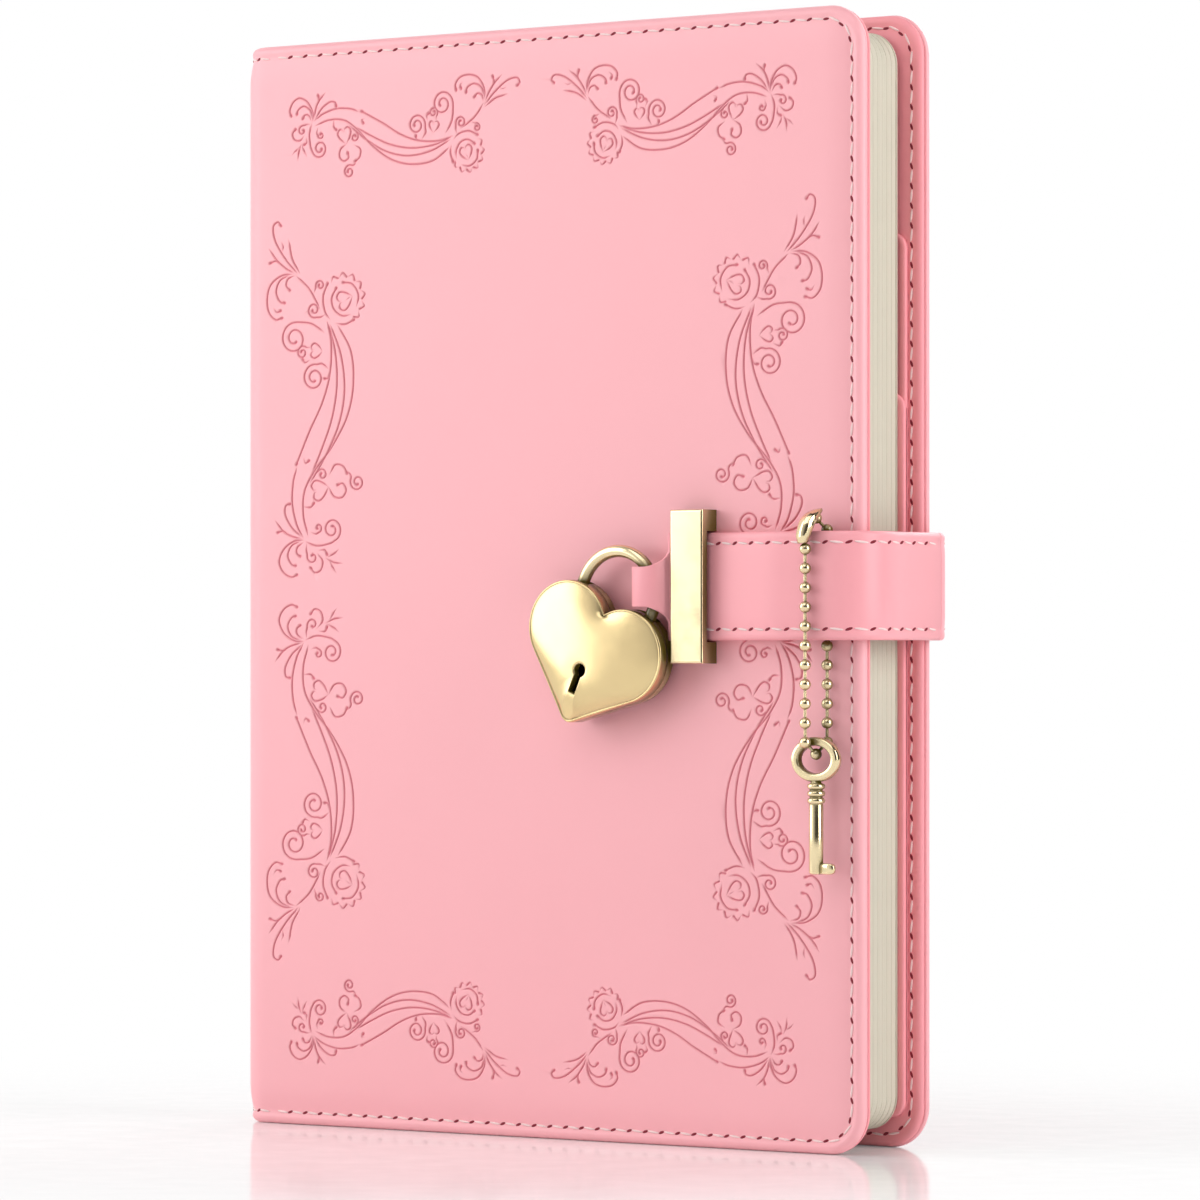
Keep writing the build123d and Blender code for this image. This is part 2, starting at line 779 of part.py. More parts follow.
# Key, hanging by its bow from the foot of the chain
key_plane = upright(strap_middle_y).offset(-key_thickness / 2)
shaft_top = bow_z - bow_height / 2 + bow_band / 2
key_foot = bow_z + bow_height / 2 - key_length
with BuildPart() as key:
    with BuildSketch(key_plane):
        with Locations((chain_x, bow_z)):
            Ellipse(bow_width / 2, bow_height / 2)
            Ellipse(bow_width / 2 - bow_band, bow_height / 2 - bow_band, mode=Mode.SUBTRACT)
    extrude(amount=key_thickness)
    fillet(key.edges().filter_by(GeomType.LINE, reverse=True), bow_round)
    with BuildSketch(Plane.XY.offset(key_foot)):
        with Locations((chain_x, strap_middle_y)):
            Circle(key_shaft / 2)
    extrude(amount=shaft_top - key_foot)
    for number in range(collar_count):
        with BuildSketch(Plane.XY.offset(bow_z - bow_height / 2 - (number + 1) * collar_step)):
            with Locations((chain_x, strap_middle_y)):
                Circle(collar / 2)
        extrude(amount=collar_height)
    with BuildSketch(Plane.XY.offset(key_foot)):
        with Locations((chain_x, strap_middle_y)):
            Rectangle(key_shaft / 2 + bit_reach, bit_thickness, align=(Align.MIN, Align.CENTER))
    extrude(amount=bit_height)
finish(key.part, "key")
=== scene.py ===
import bisect
import json
import math

import bpy
import numpy as np
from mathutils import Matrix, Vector


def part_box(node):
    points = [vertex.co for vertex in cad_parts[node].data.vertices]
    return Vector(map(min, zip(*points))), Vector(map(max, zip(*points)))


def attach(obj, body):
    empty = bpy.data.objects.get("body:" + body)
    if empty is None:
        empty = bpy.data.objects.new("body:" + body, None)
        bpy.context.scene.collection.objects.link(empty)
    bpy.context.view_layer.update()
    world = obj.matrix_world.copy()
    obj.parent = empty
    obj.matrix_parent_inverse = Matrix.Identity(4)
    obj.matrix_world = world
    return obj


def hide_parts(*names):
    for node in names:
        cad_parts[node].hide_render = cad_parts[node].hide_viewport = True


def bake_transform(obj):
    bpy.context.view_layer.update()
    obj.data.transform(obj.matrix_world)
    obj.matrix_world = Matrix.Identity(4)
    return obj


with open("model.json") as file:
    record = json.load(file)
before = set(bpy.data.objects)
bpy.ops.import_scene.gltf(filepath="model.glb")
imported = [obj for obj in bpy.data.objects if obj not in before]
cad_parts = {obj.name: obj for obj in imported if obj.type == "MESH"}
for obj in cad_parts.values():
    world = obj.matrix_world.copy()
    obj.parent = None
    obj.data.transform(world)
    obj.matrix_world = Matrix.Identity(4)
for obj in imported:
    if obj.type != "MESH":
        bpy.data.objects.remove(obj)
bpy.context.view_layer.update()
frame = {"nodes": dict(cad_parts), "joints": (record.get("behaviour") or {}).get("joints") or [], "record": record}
nodes = frame["nodes"]
joints = {joint["name"]: joint for joint in frame["joints"]}

# All sizes are in millimetres until a mesh is made.
MM = 0.001


def span(node):
    """Lowest and highest x, y and z of a CAD node."""
    low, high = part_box(node)
    return [(low[axis] / MM, high[axis] / MM) for axis in range(3)]


# Book
(spine_x, _), (front_y, back_y), (_, cover_height) = span("spine_leather")
fore_x = span("front_leather")[0][1]
hinge_x = joints["front_cover_hinge"]["pos_m"][0] / MM
spine_round = hinge_x - spine_x
cover_reach = fore_x - hinge_x
spine_half = (back_y - front_y) / 2 - spine_round
spine_arc = spine_round * math.pi / 2
cover_corner = 8.0
stitch_inset = 2.5
stitch_pitch = 3.75
lining_start = span("front_lining")[0][0] - hinge_x
tray_depth = span("front_lining")[1][0] - front_y

# Leather of a cover from its flat panel to the edge: distance from the edge, and height over the panel
LEATHER_EDGE = [
    (6.9, -0.03), (5.8, -0.11), (4.8, -0.24), (4.0, -0.38), (3.4, -0.5), (2.95, -0.6), (2.5, -0.66),
    (2.05, -0.6), (1.7, -0.5), (1.35, -0.45), (1.0, -0.52), (0.7, -0.68), (0.42, -0.94), (0.2, -1.28),
    (0.06, -1.62), (0.0, -1.92), (0.06, -2.2), (0.2, -2.4), (0.5, -2.5), (1.0, -2.52),
]
LINING_EDGE = [
    (6.9, -4.38), (5.8, -4.33), (4.8, -4.25), (4.0, -4.16), (3.4, -4.08), (2.95, -4.01), (2.5, -3.98),
    (2.05, -4.02), (1.7, -4.08), (1.35, -4.09), (1.0, -4.04), (0.7, -3.92), (0.45, -3.74), (0.28, -3.5),
    (0.2, -3.25), (0.24, -3.02), (0.36, -2.88), (0.6, -2.8), (1.0, -2.78),
]
lining_height = -4.4

# Pressed ornament: depth and half width, widths of a stroke's ends as shares of its own, and steps
groove_depth, groove_half = 0.34, 0.27
fade_size, petal_size, bulb_size = 0.3, 1.2, 1.7
fade_length, bulb_length = 2.0, 0.4
stroke_step, raster_step = 0.1, 0.08
coarse_step, fine_levels = 4.0, 5
spline_steps, coil_steps, coil_inner = 14, 26, 0.25


# Helpers


def make(name, points, faces, material, smooth=True):
    """Mesh object from points in millimetres."""
    mesh = bpy.data.meshes.new(name)
    mesh.from_pydata((np.asarray(points, float) * MM).tolist(), [], faces)
    mesh.polygons.foreach_set("use_smooth", [smooth] * len(mesh.polygons))
    mesh.materials.append(material)
    mesh.validate()
    obj = bpy.data.objects.new(name, mesh)
    bpy.context.scene.collection.objects.link(obj)
    return obj


def wrapped(points, rear):
    """Points on the cover leather: s runs from the hinge to the fore edge (and round the spine where
    it is negative), z up, n out of the face."""
    s, z, n = np.asarray(points, float).T
    turn = np.clip(-s / spine_round, 0, math.pi / 2)
    past = np.maximum(-s - spine_arc, 0)
    x = hinge_x + np.maximum(s, 0) - (spine_round + n) * np.sin(turn)
    y = front_y + spine_round - (spine_round + n) * np.cos(turn) + past
    if rear:
        y = front_y + back_y - y
    return np.stack([x, y, z], 1)


def flipped(faces, flip):
    return [face[::-1] for face in faces] if flip else faces


def spline(points, count=spline_steps):
    """Smooth curve through points."""
    p = np.asarray(points, float)
    ends = np.vstack([2 * p[0] - p[1], p, 2 * p[-1] - p[-2]])
    out = []
    t = np.linspace(0, 1, count, endpoint=False)[:, None]
    for a, b, c, d in zip(ends, ends[1:], ends[2:], ends[3:]):
        out.append(
            0.5 * (2 * b + (c - a) * t + (2 * a - 5 * b + 4 * c - d) * t**2 + (3 * b - a - 3 * c + d) * t**3)
        )
    return np.vstack(out + [p[-1:]])


def distances(line):
    """Length of a line up to each of its points."""
    return np.concatenate([[0], np.cumsum(np.hypot(*np.diff(line, axis=0).T))])


def mirrored(half):
    """Section from its half: the other half follows in reverse, on the other side."""
    return half + [(-w, n) for w, n in half[::-1]]


def whole_turn(count):
    return np.linspace(0, 2 * math.pi, count, endpoint=False)


def quarter(centre, radius, start, count):
    """Points of a quarter circle that turns left from an angle in degrees."""
    turns = np.radians(np.linspace(start, start + 90, count))
    return [(centre[0] + radius * math.cos(a), centre[1] + radius * math.sin(a)) for a in turns]


def fore_outline(start, end, foot, top, corner, count):
    """Line from the foot round two rounded fore corners to the top."""
    far = end - corner
    return [
        (start, foot), *quarter((far, foot + corner), corner, -90, count),
        *quarter((far, top - corner), corner, 0, count), (start, top),
    ]


def lofted(rings, closed=False, capped=True, flip=False):
    """Points and faces of a skin over rings of equal count; a closed one runs back to its first ring."""
    count, total = len(rings[0]), len(rings)
    faces = []
    for ring in range(total if closed else total - 1):
        here, there = ring * count, (ring + 1) % total * count
        for k in range(count):
            nxt = (k + 1) % count
            face = [here + k, here + nxt, there + nxt, there + k]
            faces.append([face[0], *face[:0:-1]] if flip else face)
    if capped and not closed:
        last = (total - 1) * count
        faces += flipped([list(range(count))[::-1], list(range(last, last + count))], flip)
    return [point for ring in rings for point in ring], faces


def joined(skins):
    """Points and faces of several skins as one."""
    points, faces = [], []
    for more, its_faces in skins:
        faces += [[len(points) + k for k in face] for face in its_faces]
        points += list(more)
    return points, faces


def settle(piece, body, slot, *covered):
    """Rides a piece on its body and hides the CAD nodes that it stands for; its slot is not used."""
    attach(piece, body)
    if covered:
        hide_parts(*covered)
    return piece


# Materials


def srgb(red, green, blue):
    """Linear colour from display values of 0 to 255."""
    def channel(value):
        value /= 255
        return value / 12.92 if value <= 0.04045 else ((value + 0.055) / 1.055) ** 2.4

    return (channel(red), channel(green), channel(blue), 1.0)


def add_node(tree, kind, inputs, operation=None, data_type=None):
    """New shader node whose inputs take plain values or other nodes' outputs."""
    node = tree.nodes.new("ShaderNode" + kind)
    if operation:
        node.operation = operation
    if data_type:
        node.data_type = data_type
    for socket, value in inputs.items():
        if isinstance(value, bpy.types.NodeSocket):
            tree.links.new(value, node.inputs[socket])
        else:
            node.inputs[socket].default_value = value
    return node


def ranged(tree, value, low, high, to_low, to_high, smooth=False):
    """Output that goes from one number to another while a value runs over a range."""
    inputs = {"Value": value, "From Min": low, "From Max": high, "To Min": to_low, "To Max": to_high}
    node = add_node(tree, "MapRange", inputs)
    if smooth:
        node.interpolation_type = "SMOOTHSTEP"
    return node.outputs["Result"]


# Usual range of the noise, how far roughness varies with it, the grain's depth, and the open share of a
# surface's view that counts as closed in (full painted shade) and as open (no painted shade)
noise_low, noise_high, roughness_vary = 0.3, 0.7, 0.04
grain_depth = 0.05
full_shade_share, shade_free_share = 0.62, 0.98
patch_detail, grain_detail = 4, 3
looks = {}


def shader(
    name, colour, roughness, metallic=0.0, vary=0.04, vary_size=9.0, grain=0.0, grain_size=0.4, tint=None,
    painted_shade=None, painted_shade_reach=0.0,
):
    """Principled material whose colour and roughness vary a little. It may have a fine grain, a tint
    where the mesh is pressed, and painted shade: a dark colour, with less metal, where the surface is closed in."""
    material = bpy.data.materials.new(name)
    material.use_nodes = True
    tree = material.node_tree
    surface = tree.nodes["Principled BSDF"].inputs
    surface["Metallic"].default_value = metallic
    place = tree.nodes.new("ShaderNodeTexCoord").outputs["Object"]

    def noise(size, detail):
        inputs = {"Scale": 1 / (size * MM), "Detail": detail, "Vector": place}
        return add_node(tree, "TexNoise", inputs).outputs["Fac"]

    def mixed(first, second, share):
        inputs = {"A": first, "B": second, "Factor": share}
        return add_node(tree, "Mix", inputs, data_type="RGBA").outputs["Result"]

    patches = noise(vary_size, patch_detail)
    darker, lighter = (tuple(min(c * (1 + side * vary), 1.0) for c in colour[:3]) + (1.0,) for side in (-1, 1))
    base = mixed(darker, lighter, patches)
    gloss = ranged(tree, patches, noise_low, noise_high, roughness - roughness_vary, roughness + roughness_vary)
    tree.links.new(gloss, surface["Roughness"])
    if grain:
        inputs = {"Strength": grain, "Distance": grain_depth * MM, "Height": noise(grain_size, grain_detail)}
        tree.links.new(add_node(tree, "Bump", inputs).outputs["Normal"], surface["Normal"])
    if tint:
        amount = tree.nodes.new("ShaderNodeAttribute")
        amount.attribute_name = "pressed"
        base = mixed(base, tint, amount.outputs["Fac"])
    # Painted shade: where ambient occlusion finds the surface closed in, the colour turns dark and the metal gives
    # way
    if painted_shade:
        closed = add_node(tree, "AmbientOcclusion", {"Distance": painted_shade_reach * MM})
        share = ranged(tree, closed.outputs["AO"], full_shade_share, shade_free_share, 0.0, 1.0)
        base = mixed(painted_shade, base, share)
        tree.links.new(share, surface["Metallic"])
    tree.links.new(base, surface["Base Color"])
    looks[name] = material
    return material


leather = shader(
    "leather", srgb(255, 182, 189), 0.4, vary=0.02, vary_size=30.0, grain=0.14, tint=srgb(218, 112, 127)
)
strap_leather = shader("strap_leather", srgb(252, 170, 178), 0.42, vary=0.02, vary_size=12.0, grain=0.14)
lining = shader("lining", srgb(250, 160, 168), 0.5, vary=0.02, vary_size=20.0, grain=0.2)
thread = shader("thread", srgb(253, 220, 218), 0.7, vary=0.1, vary_size=0.5, grain=0.6, grain_size=0.2)
# Dark red of the needle holes is painted shade: pebbles on the surface stand in for the holes
stitch_hole = shader("stitch_hole", srgb(132, 38, 52), 0.9, vary=0.2, vary_size=1.0)
paper = shader("paper", srgb(212, 208, 190), 0.85, vary=0.03, vary_size=6.0, grain=0.3, grain_size=0.15)
# Gold turns olive where it is closed in: painted shade on its sides and recesses
polished = {"metallic": 1.0, "vary": 0.03, "vary_size": 4.0, "painted_shade": srgb(96, 84, 30), "painted_shade_reach": 7.0}
gold = shader("gold", srgb(240, 221, 178), 0.13, **polished)
satin_gold = shader("satin_gold", srgb(228, 203, 152), 0.23, **polished)
shader("steel", srgb(176, 176, 172), 0.3, metallic=1.0, vary=0.05, vary_size=2.0)
shader("board", srgb(156, 148, 134), 0.9, vary=0.12, vary_size=1.5, grain=0.5)
shader("foam", srgb(230, 226, 216), 0.94, vary=0.06, vary_size=1.0, grain=0.8, grain_size=0.6)
cloth = shader("cloth", srgb(234, 230, 216), 0.94, vary=0.08, vary_size=0.8, grain=0.8, grain_size=0.3)

for subpart in frame["record"]["subparts"]:
    mesh = nodes[subpart["node"]].data
    mesh.materials.clear()
    mesh.materials.append(looks[subpart["material_slot"]])


# Ornament: one spray of scrolls, drawn in millimetres along a (towards its sprig) and b


def line(*stops):
    """Stroke that fades at both ends."""
    return spline(stops), fade_size


def drop(*stops):
    """Stroke that ends in a bulb."""
    return spline(stops), bulb_size


def scroll(stem, centre, radius, start, turns):
    """Stem that runs into a spiral with a bulb at its end. The spiral winds in about a centre from an angle in
    degrees; negative turns run clockwise."""
    t = np.linspace(0, 1, int(abs(turns) * coil_steps))
    angle = np.radians(start) + t * turns * 2 * math.pi
    r = radius * (1 - (1 - coil_inner) * t)
    coil = np.stack([centre[0] + r * np.cos(angle), centre[1] + r * np.sin(angle)], 1)
    return np.vstack([spline([*stem, coil[0], coil[1]])[:-spline_steps], coil]), bulb_size


def heart(centre, size, angle):
    """Small heart of two strokes, its point along an angle in degrees."""
    c, s = math.cos(math.radians(angle)), math.sin(math.radians(angle))
    half = [(1.0, 0.0), (0.25, 0.7), (-0.4, 0.95), (-0.85, 0.6), (-0.7, 0.15), (-0.35, 0.1)]
    a, b = np.array(half).T
    return [
        line(*zip(centre[0] + size * (a * c - side * b * s), centre[1] + size * (a * s + side * b * c)))
        for side in (1, -1)
    ]


def petals(centre, radius, first, last, count):
    """Row of small arcs round a centre, between two angles in degrees."""
    strokes = []
    ends = np.linspace(first, last, count + 1)
    for start, end in zip(ends, ends[1:]):
        stops = []
        for share, far in ((0.08, 0.95), (0.5, 1.12), (0.92, 0.95)):
            angle = math.radians(start + (end - start) * share)
            stops.append((centre[0] + radius * far * math.cos(angle), centre[1] + radius * far * math.sin(angle)))
        strokes.append((spline(stops), petal_size))
    return strokes


# Strokes of the ornament, each with the width of its end
SPRAY = [
    # ribbon of long waves
    drop((42.2, 8.3), (38.5, 7.5), (33.5, 7.8), (29.0, 9.3), (24.5, 11.8), (19.2, 14.4)),
    line((7.2, 12.9), (9.5, 14.3), (13.0, 15.2), (16.5, 15.0), (18.9, 14.2)),
    line(
        (7.6, 12.0), (11.0, 13.0), (14.8, 12.8), (18.2, 10.8), (21.8, 7.5), (26.5, 4.5), (31.5, 3.2), (37, 3.6),
        (41.4, 6.2),
    ),
    line((16.2, 11.7), (20.4, 8.7), (25.6, 6.0), (31.0, 4.9), (36.6, 5.6), (41.6, 7.7)),
    line((17.8, 11.3), (21.8, 9.3), (26.4, 7.4), (31.6, 6.4), (37.0, 6.7), (41.8, 8.1)),
    drop((20.2, 12.9), (19.4, 12.6), (19.8, 11.9)),
    # head of the spray
    drop((7.0, 12.8), (6.9, 14.8), (5.6, 16.9), (3.6, 17.8), (1.9, 17.0), (1.1, 15.4), (1.5, 14.2)),
    drop((6.9, 13.4), (6.2, 15.3), (4.6, 16.1), (3.2, 15.4), (2.9, 14.5)),
    drop((6.7, 12.9), (5.9, 14.2), (4.9, 14.3), (4.4, 13.6)),
    line((7.2, 13.2), (7.7, 15.4), (8.6, 17.1), (10.3, 18.6)),
    drop((7.9, 15.9), (8.5, 17.0), (8.3, 18.2)),
    drop((7.5, 13.3), (9.2, 15.4), (11.2, 16.6), (12.6, 16.5), (12.9, 15.6)),
    scroll([(6.8, 12.6), (6.1, 10.4), (6.4, 7.9)], (8.7, 7.4), 1.9, 200, 1.45),
    scroll([(8.3, 11.5), (8.0, 10.6)], (9.0, 10.1), 0.8, 180, 0.9),
    scroll([(6.4, 12.3), (5.4, 12.4)], (4.3, 11.2), 1.1, 70, 0.9),
    drop((4.9, 10.2), (3.6, 9.2), (2.2, 9.6), (1.8, 10.8), (2.6, 11.6)),
    drop((5.3, 10.0), (5.4, 8.8), (4.6, 8.3)),
    line((4.1, 8.6), (3.4, 7.0), (3.2, 5.2)),
    line((4.2, 8.4), (4.8, 7.0), (5.5, 5.9)),
    line((3.7, 7.8), (2.6, 7.2), (1.7, 6.4)),
    # hanging heart and curls
    *heart((15.1, 9.7), 1.75, -75),
    drop((12.4, 13.0), (12.3, 11.6), (13.0, 10.9)),
    scroll([(17.0, 11.0), (17.9, 10.4)], (17.5, 9.3), 1.0, 60, -1.1),
    drop((15.6, 8.0), (14.0, 7.0), (13.8, 5.4), (14.9, 4.6), (16.0, 5.2), (15.8, 6.3)),
    drop((17.4, 7.8), (19.0, 6.8), (18.8, 5.2), (17.6, 4.4)),
    scroll([(18.2, 4.8), (17.5, 3.8)], (16.2, 2.4), 1.4, 60, 1.4),
    # scrolls over the ribbon
    scroll([(34.4, 7.9), (35.3, 9.3)], (33.1, 10.9), 2.2, -15, 1.6),
    drop((34.0, 7.9), (33.0, 8.2), (32.9, 8.9)),
    *heart((37.4, 10.4), 1.25, -95),
    scroll([(38.0, 11.5), (38.0, 12.4)], (37.2, 13.2), 1.1, -30, 1.3),
    drop((36.0, 11.6), (35.6, 12.7), (36.2, 13.2)),
    scroll([(40.3, 8.8), (41.8, 11.4), (42.1, 13.8)], (39.5, 14.8), 2.6, 0, 1.6),
    drop((49.9, 15.0), (49.7, 17.4), (48.3, 19.5), (46.2, 20.2), (44.0, 19.9), (42.7, 18.6), (42.9, 17.2)),
    drop((49.8, 15.6), (49.0, 17.6), (47.2, 18.4), (45.6, 17.7), (45.3, 16.7)),
    drop((49.6, 14.6), (49.2, 16.0), (48.1, 16.4), (47.3, 15.7)),
    drop((44.6, 18.9), (43.9, 18.3), (44.1, 17.5)),
    line((43.9, 9.6), (45.6, 10.6), (47.6, 12.0), (49.6, 14.4)),
    scroll([(43.2, 8.6), (42.8, 9.6)], (44.0, 10.9), 1.3, 200, -1.3),
    scroll([(46.6, 10.9), (47.4, 10.6)], (47.9, 9.7), 0.9, 110, -1.2),
    # sprig
    line((50.0, 14.7), (50.9, 16.5), (52.4, 18.4), (54.2, 19.8)),
    drop((51.3, 17.2), (52.1, 18.4), (51.8, 19.7)),
    drop((49.8, 14.0), (52.2, 16.4), (55.2, 18.5), (57.6, 19.0), (58.4, 18.1), (57.7, 17.4)),
    line((53.4, 17.2), (54.4, 17.0), (55.2, 17.3)),
    line((49.9, 13.6), (52.4, 15.2), (55.6, 15.9)),
    # rosette
    drop((42.3, 7.6), (43.6, 8.7), (46.0, 9.1), (48.2, 8.2)),
    drop((41.7, 6.6), (41.5, 4.8), (42.2, 3.0)),
    *petals((45.6, 5.0), 3.7, 45, -150, 7),
    drop((43.0, 3.6), (42.9, 5.4), (44.0, 7.0), (45.8, 7.4), (47.4, 6.5)),
    drop((44.2, 2.5), (46.2, 2.2), (47.9, 3.4), (48.2, 5.2)),
    *heart((45.4, 4.8), 1.6, -70),
    line((45.3, 4.6), (45.7, 4.0), (45.8, 3.6)),
]

# Places of the sprays on the cover: x from the spine's edge and z from the foot
row_left, row_foot, row_scale = 12.0, 186.6, 0.985
column_inner, column_foot, column_across, column_along = 33.0, 107.6, 1.27, 1.235
ornament_middle_x = 73.3
row_middle_z = 108.6
column_middle_z = 106.2


def ornament_strokes():
    """All strokes of the border, as s and z on the cover's leather."""
    strokes = []
    for stroke, end_size in SPRAY:
        a, b = stroke.T
        row = row_left + a * row_scale, row_foot + b * row_scale
        column = column_inner - b * column_across, column_foot + a * column_along
        for (x, z), middle_z in ((row, row_middle_z), (column, column_middle_z)):
            for side_x in (x, 2 * ornament_middle_x - x):
                for side_z in (z, 2 * middle_z - z):
                    strokes.append((np.stack([side_x - spine_round, side_z], 1), end_size))
    return strokes


def pressed_field():
    """Depth of the ornament over the cover on a regular raster, and the raster's corner in s."""
    left = -spine_round
    columns = int((cover_reach - left) / raster_step) + 1
    rows = int(cover_height / raster_step) + 1
    field = np.zeros((rows, columns))
    reach = int(bulb_size * groove_half / raster_step) + 2
    grid = np.arange(-reach, reach + 1)
    for stroke, end_size in ornament_strokes():
        along = distances(stroke)
        samples = np.arange(0, along[-1], stroke_step)
        s, z = (np.interp(samples, along, stroke[:, k]) for k in (0, 1))
        left_over = along[-1] - samples
        taper = np.minimum(1, fade_size + samples / fade_length)
        if end_size < 1:
            taper = np.minimum(taper, fade_size + left_over / fade_length)
        else:
            taper = np.where(left_over < bulb_length, end_size, taper)
        for si, zi, size in zip(s, z, taper):
            column, row = round((si - left) / raster_step), round(zi / raster_step)
            if not (reach <= column < columns - reach and reach <= row < rows - reach):
                continue
            ds = left + (column + grid) * raster_step - si
            dz = (row + grid) * raster_step - zi
            distance = np.hypot(ds[None, :], dz[:, None]) / (groove_half * size)
            depth = np.clip(1 - distance, 0, 1)
            depth = min(size, 1) * depth * depth * (3 - 2 * depth)
            window = field[row - reach : row + reach + 1, column - reach : column + reach + 1]
            np.maximum(window, depth, out=window)
    return field, left


def raster_cells(low, high, count):
    """First cell of the raster near a stretch, and the one past its last."""
    return (min(max(int(end / raster_step) + more, 0), count) for end, more in ((low, -1), (high, 2)))


# Depth that counts as pressed, reach of the spine's curve into the cover, and degrees between corner rays
pressed_least, curve_reach, corner_step = 0.01, 0.5, 6


class Patch:
    """Grid over the flat part of a cover, divided finely only where the ornament is."""

    def __init__(self, start, end, foot, top, field=np.zeros((2, 2)), field_left=0.0):
        self.start, self.foot = start, foot
        self.field, self.field_left = field, field_left
        self.unit = 2**fine_levels
        self.across = round((end - start) / coarse_step)
        self.up = round((top - foot) / coarse_step)
        self.step_s = (end - start) / self.across / self.unit
        self.step_z = (top - foot) / self.up / self.unit
        busy = (field > pressed_least).astype(np.int64)
        self.sums = np.pad(busy.cumsum(0).cumsum(1), ((1, 0), (1, 0)))
        self.leaves = []
        for i in range(self.across):
            for j in range(self.up):
                self.divide(i * self.unit, j * self.unit, self.unit)
        self.index, self.rows, self.columns = {}, {}, {}
        for i, j, size in self.leaves:
            for corner in ((i, j), (i + size, j), (i + size, j + size), (i, j + size)):
                if corner not in self.index:
                    self.index[corner] = len(self.index)
                    self.rows.setdefault(corner[1], []).append(corner[0])
                    self.columns.setdefault(corner[0], []).append(corner[1])
        for line in (*self.rows.values(), *self.columns.values()):
            line.sort()

    def s(self, i):
        return self.start + i * self.step_s

    def z(self, j):
        return self.foot + j * self.step_z

    def busy(self, i, j, size):
        rows, columns = self.field.shape
        c0, c1 = raster_cells(self.s(i) - self.field_left, self.s(i + size) - self.field_left, columns)
        r0, r1 = raster_cells(self.z(j), self.z(j + size), rows)
        return self.sums[r1, c1] - self.sums[r0, c1] - self.sums[r1, c0] + self.sums[r0, c0] > 0

    def divide(self, i, j, size):
        curved = self.s(i) < curve_reach and size > self.unit // 4
        if size > 1 and (curved or self.busy(i, j, size)):
            half = size // 2
            for di in (0, half):
                for dj in (0, half):
                    self.divide(i + di, j + dj, half)
        else:
            self.leaves.append((i, j, size))

    def points(self):
        """Places of the grid's points as s, z and pressed depth from 0 to 1."""
        at = np.array(list(self.index), float)
        s, z = self.s(at[:, 0]), self.z(at[:, 1])
        rows, columns = self.field.shape
        c = np.clip((s - self.field_left) / raster_step, 0, columns - 2)
        r = np.clip(z / raster_step, 0, rows - 2)
        c0, r0 = c.astype(int), r.astype(int)
        fc, fr = c - c0, r - r0
        low, high = (self.field[r0 + k, c0] * (1 - fc) + self.field[r0 + k, c0 + 1] * fc for k in (0, 1))
        return s, z, low * (1 - fr) + high * fr

    def between(self, line, low, high):
        return line[bisect.bisect_left(line, low) : bisect.bisect_right(line, high)]

    def faces(self):
        """Polygons that take in the points of finer neighbours."""
        out = []
        for i, j, size in self.leaves:
            end_i, end_j = i + size, j + size
            ring = [(k, j) for k in self.between(self.rows[j], i, end_i)]
            ring += [(end_i, k) for k in self.between(self.columns[end_i], j, end_j)[1:]]
            ring += [(k, end_j) for k in self.between(self.rows[end_j], i, end_i)[-2::-1]]
            ring += [(i, k) for k in self.between(self.columns[i], j, end_j)[-2:0:-1]]
            out.append([self.index[corner] for corner in ring])
        return out

    def border(self):
        """Points of the bottom, fore and top sides in order, each with its direction outwards."""
        last_i, last_j = self.across * self.unit, self.up * self.unit
        arc = np.radians(np.arange(corner_step - 90, 0, corner_step))
        stations = [((i, 0), (0.0, -1.0)) for i in self.rows[0]]
        stations += [((last_i, 0), (math.cos(a), math.sin(a))) for a in arc]
        stations += [((last_i, j), (1.0, 0.0)) for j in self.columns[last_i]]
        stations += [((last_i, last_j), (math.cos(a), math.sin(a))) for a in arc + math.pi / 2]
        stations += [((i, last_j), (0.0, 1.0)) for i in self.rows[last_j][::-1]]
        return stations


def cover_sheet(name, material, patch, profile, level, rear, inside, ease=None):
    """Sheet of a cover: its patch, and the profile that runs from it to the edge and round it."""
    s, z, pressed = patch.points()
    points = np.stack([s, z, level - groove_depth * pressed], 1).tolist()
    faces = patch.faces()
    stations = patch.border()
    rings = []
    for corner, out in stations:
        ring = [patch.index[corner]]
        base_s, base_z = patch.s(corner[0]), patch.z(corner[1])
        for inset, height in profile:
            away = cover_corner - inset
            ring.append(len(points))
            points.append([base_s + away * out[0], base_z + away * out[1], height])
        rings.append(ring)
    for here, there in zip(rings, rings[1:]):
        for k in range(len(here) - 1):
            face = [here[k], here[k + 1], there[k + 1], there[k]]
            faces.append(face if face[0] != face[3] else face[:3])
    points = np.array(points)
    if ease is not None:
        points[:, 2] = ease(points[:, 0], points[:, 2])
    obj = make(name, wrapped(points, rear), flipped(faces, rear != inside), material)
    attribute = obj.data.attributes.new("pressed", "FLOAT", "POINT")
    values = np.zeros(len(points), np.float32)
    values[: len(pressed)] = pressed
    attribute.data.foreach_set("value", values)
    return obj


panel_end = cover_reach - cover_corner
panel_foot, panel_top = cover_corner, cover_height - cover_corner
wrap_start = -spine_arc - spine_half

for rear, side, y, relief, covered in (
    (False, "front", front_y, pressed_field(), ("front_leather", "front_foam", "spine_leather")),
    (True, "back", back_y, (), ("back_leather", "back_foam")),
):
    skin = cover_sheet(
        f"{side}_cover_leather", leather, Patch(wrap_start, panel_end, panel_foot, panel_top, *relief),
        LEATHER_EDGE, 0.0, rear=rear, inside=False,
    )
    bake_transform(skin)
    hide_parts(*covered)

lining_round = 0.8


def lining_ease(s, n):
    """The lining's edge at the hinge is turned in over a short rounding."""
    share = np.clip((s - lining_start) / lining_round, 0, 1)
    return -tray_depth + (n + tray_depth) * np.sqrt(1 - (1 - share) ** 2)


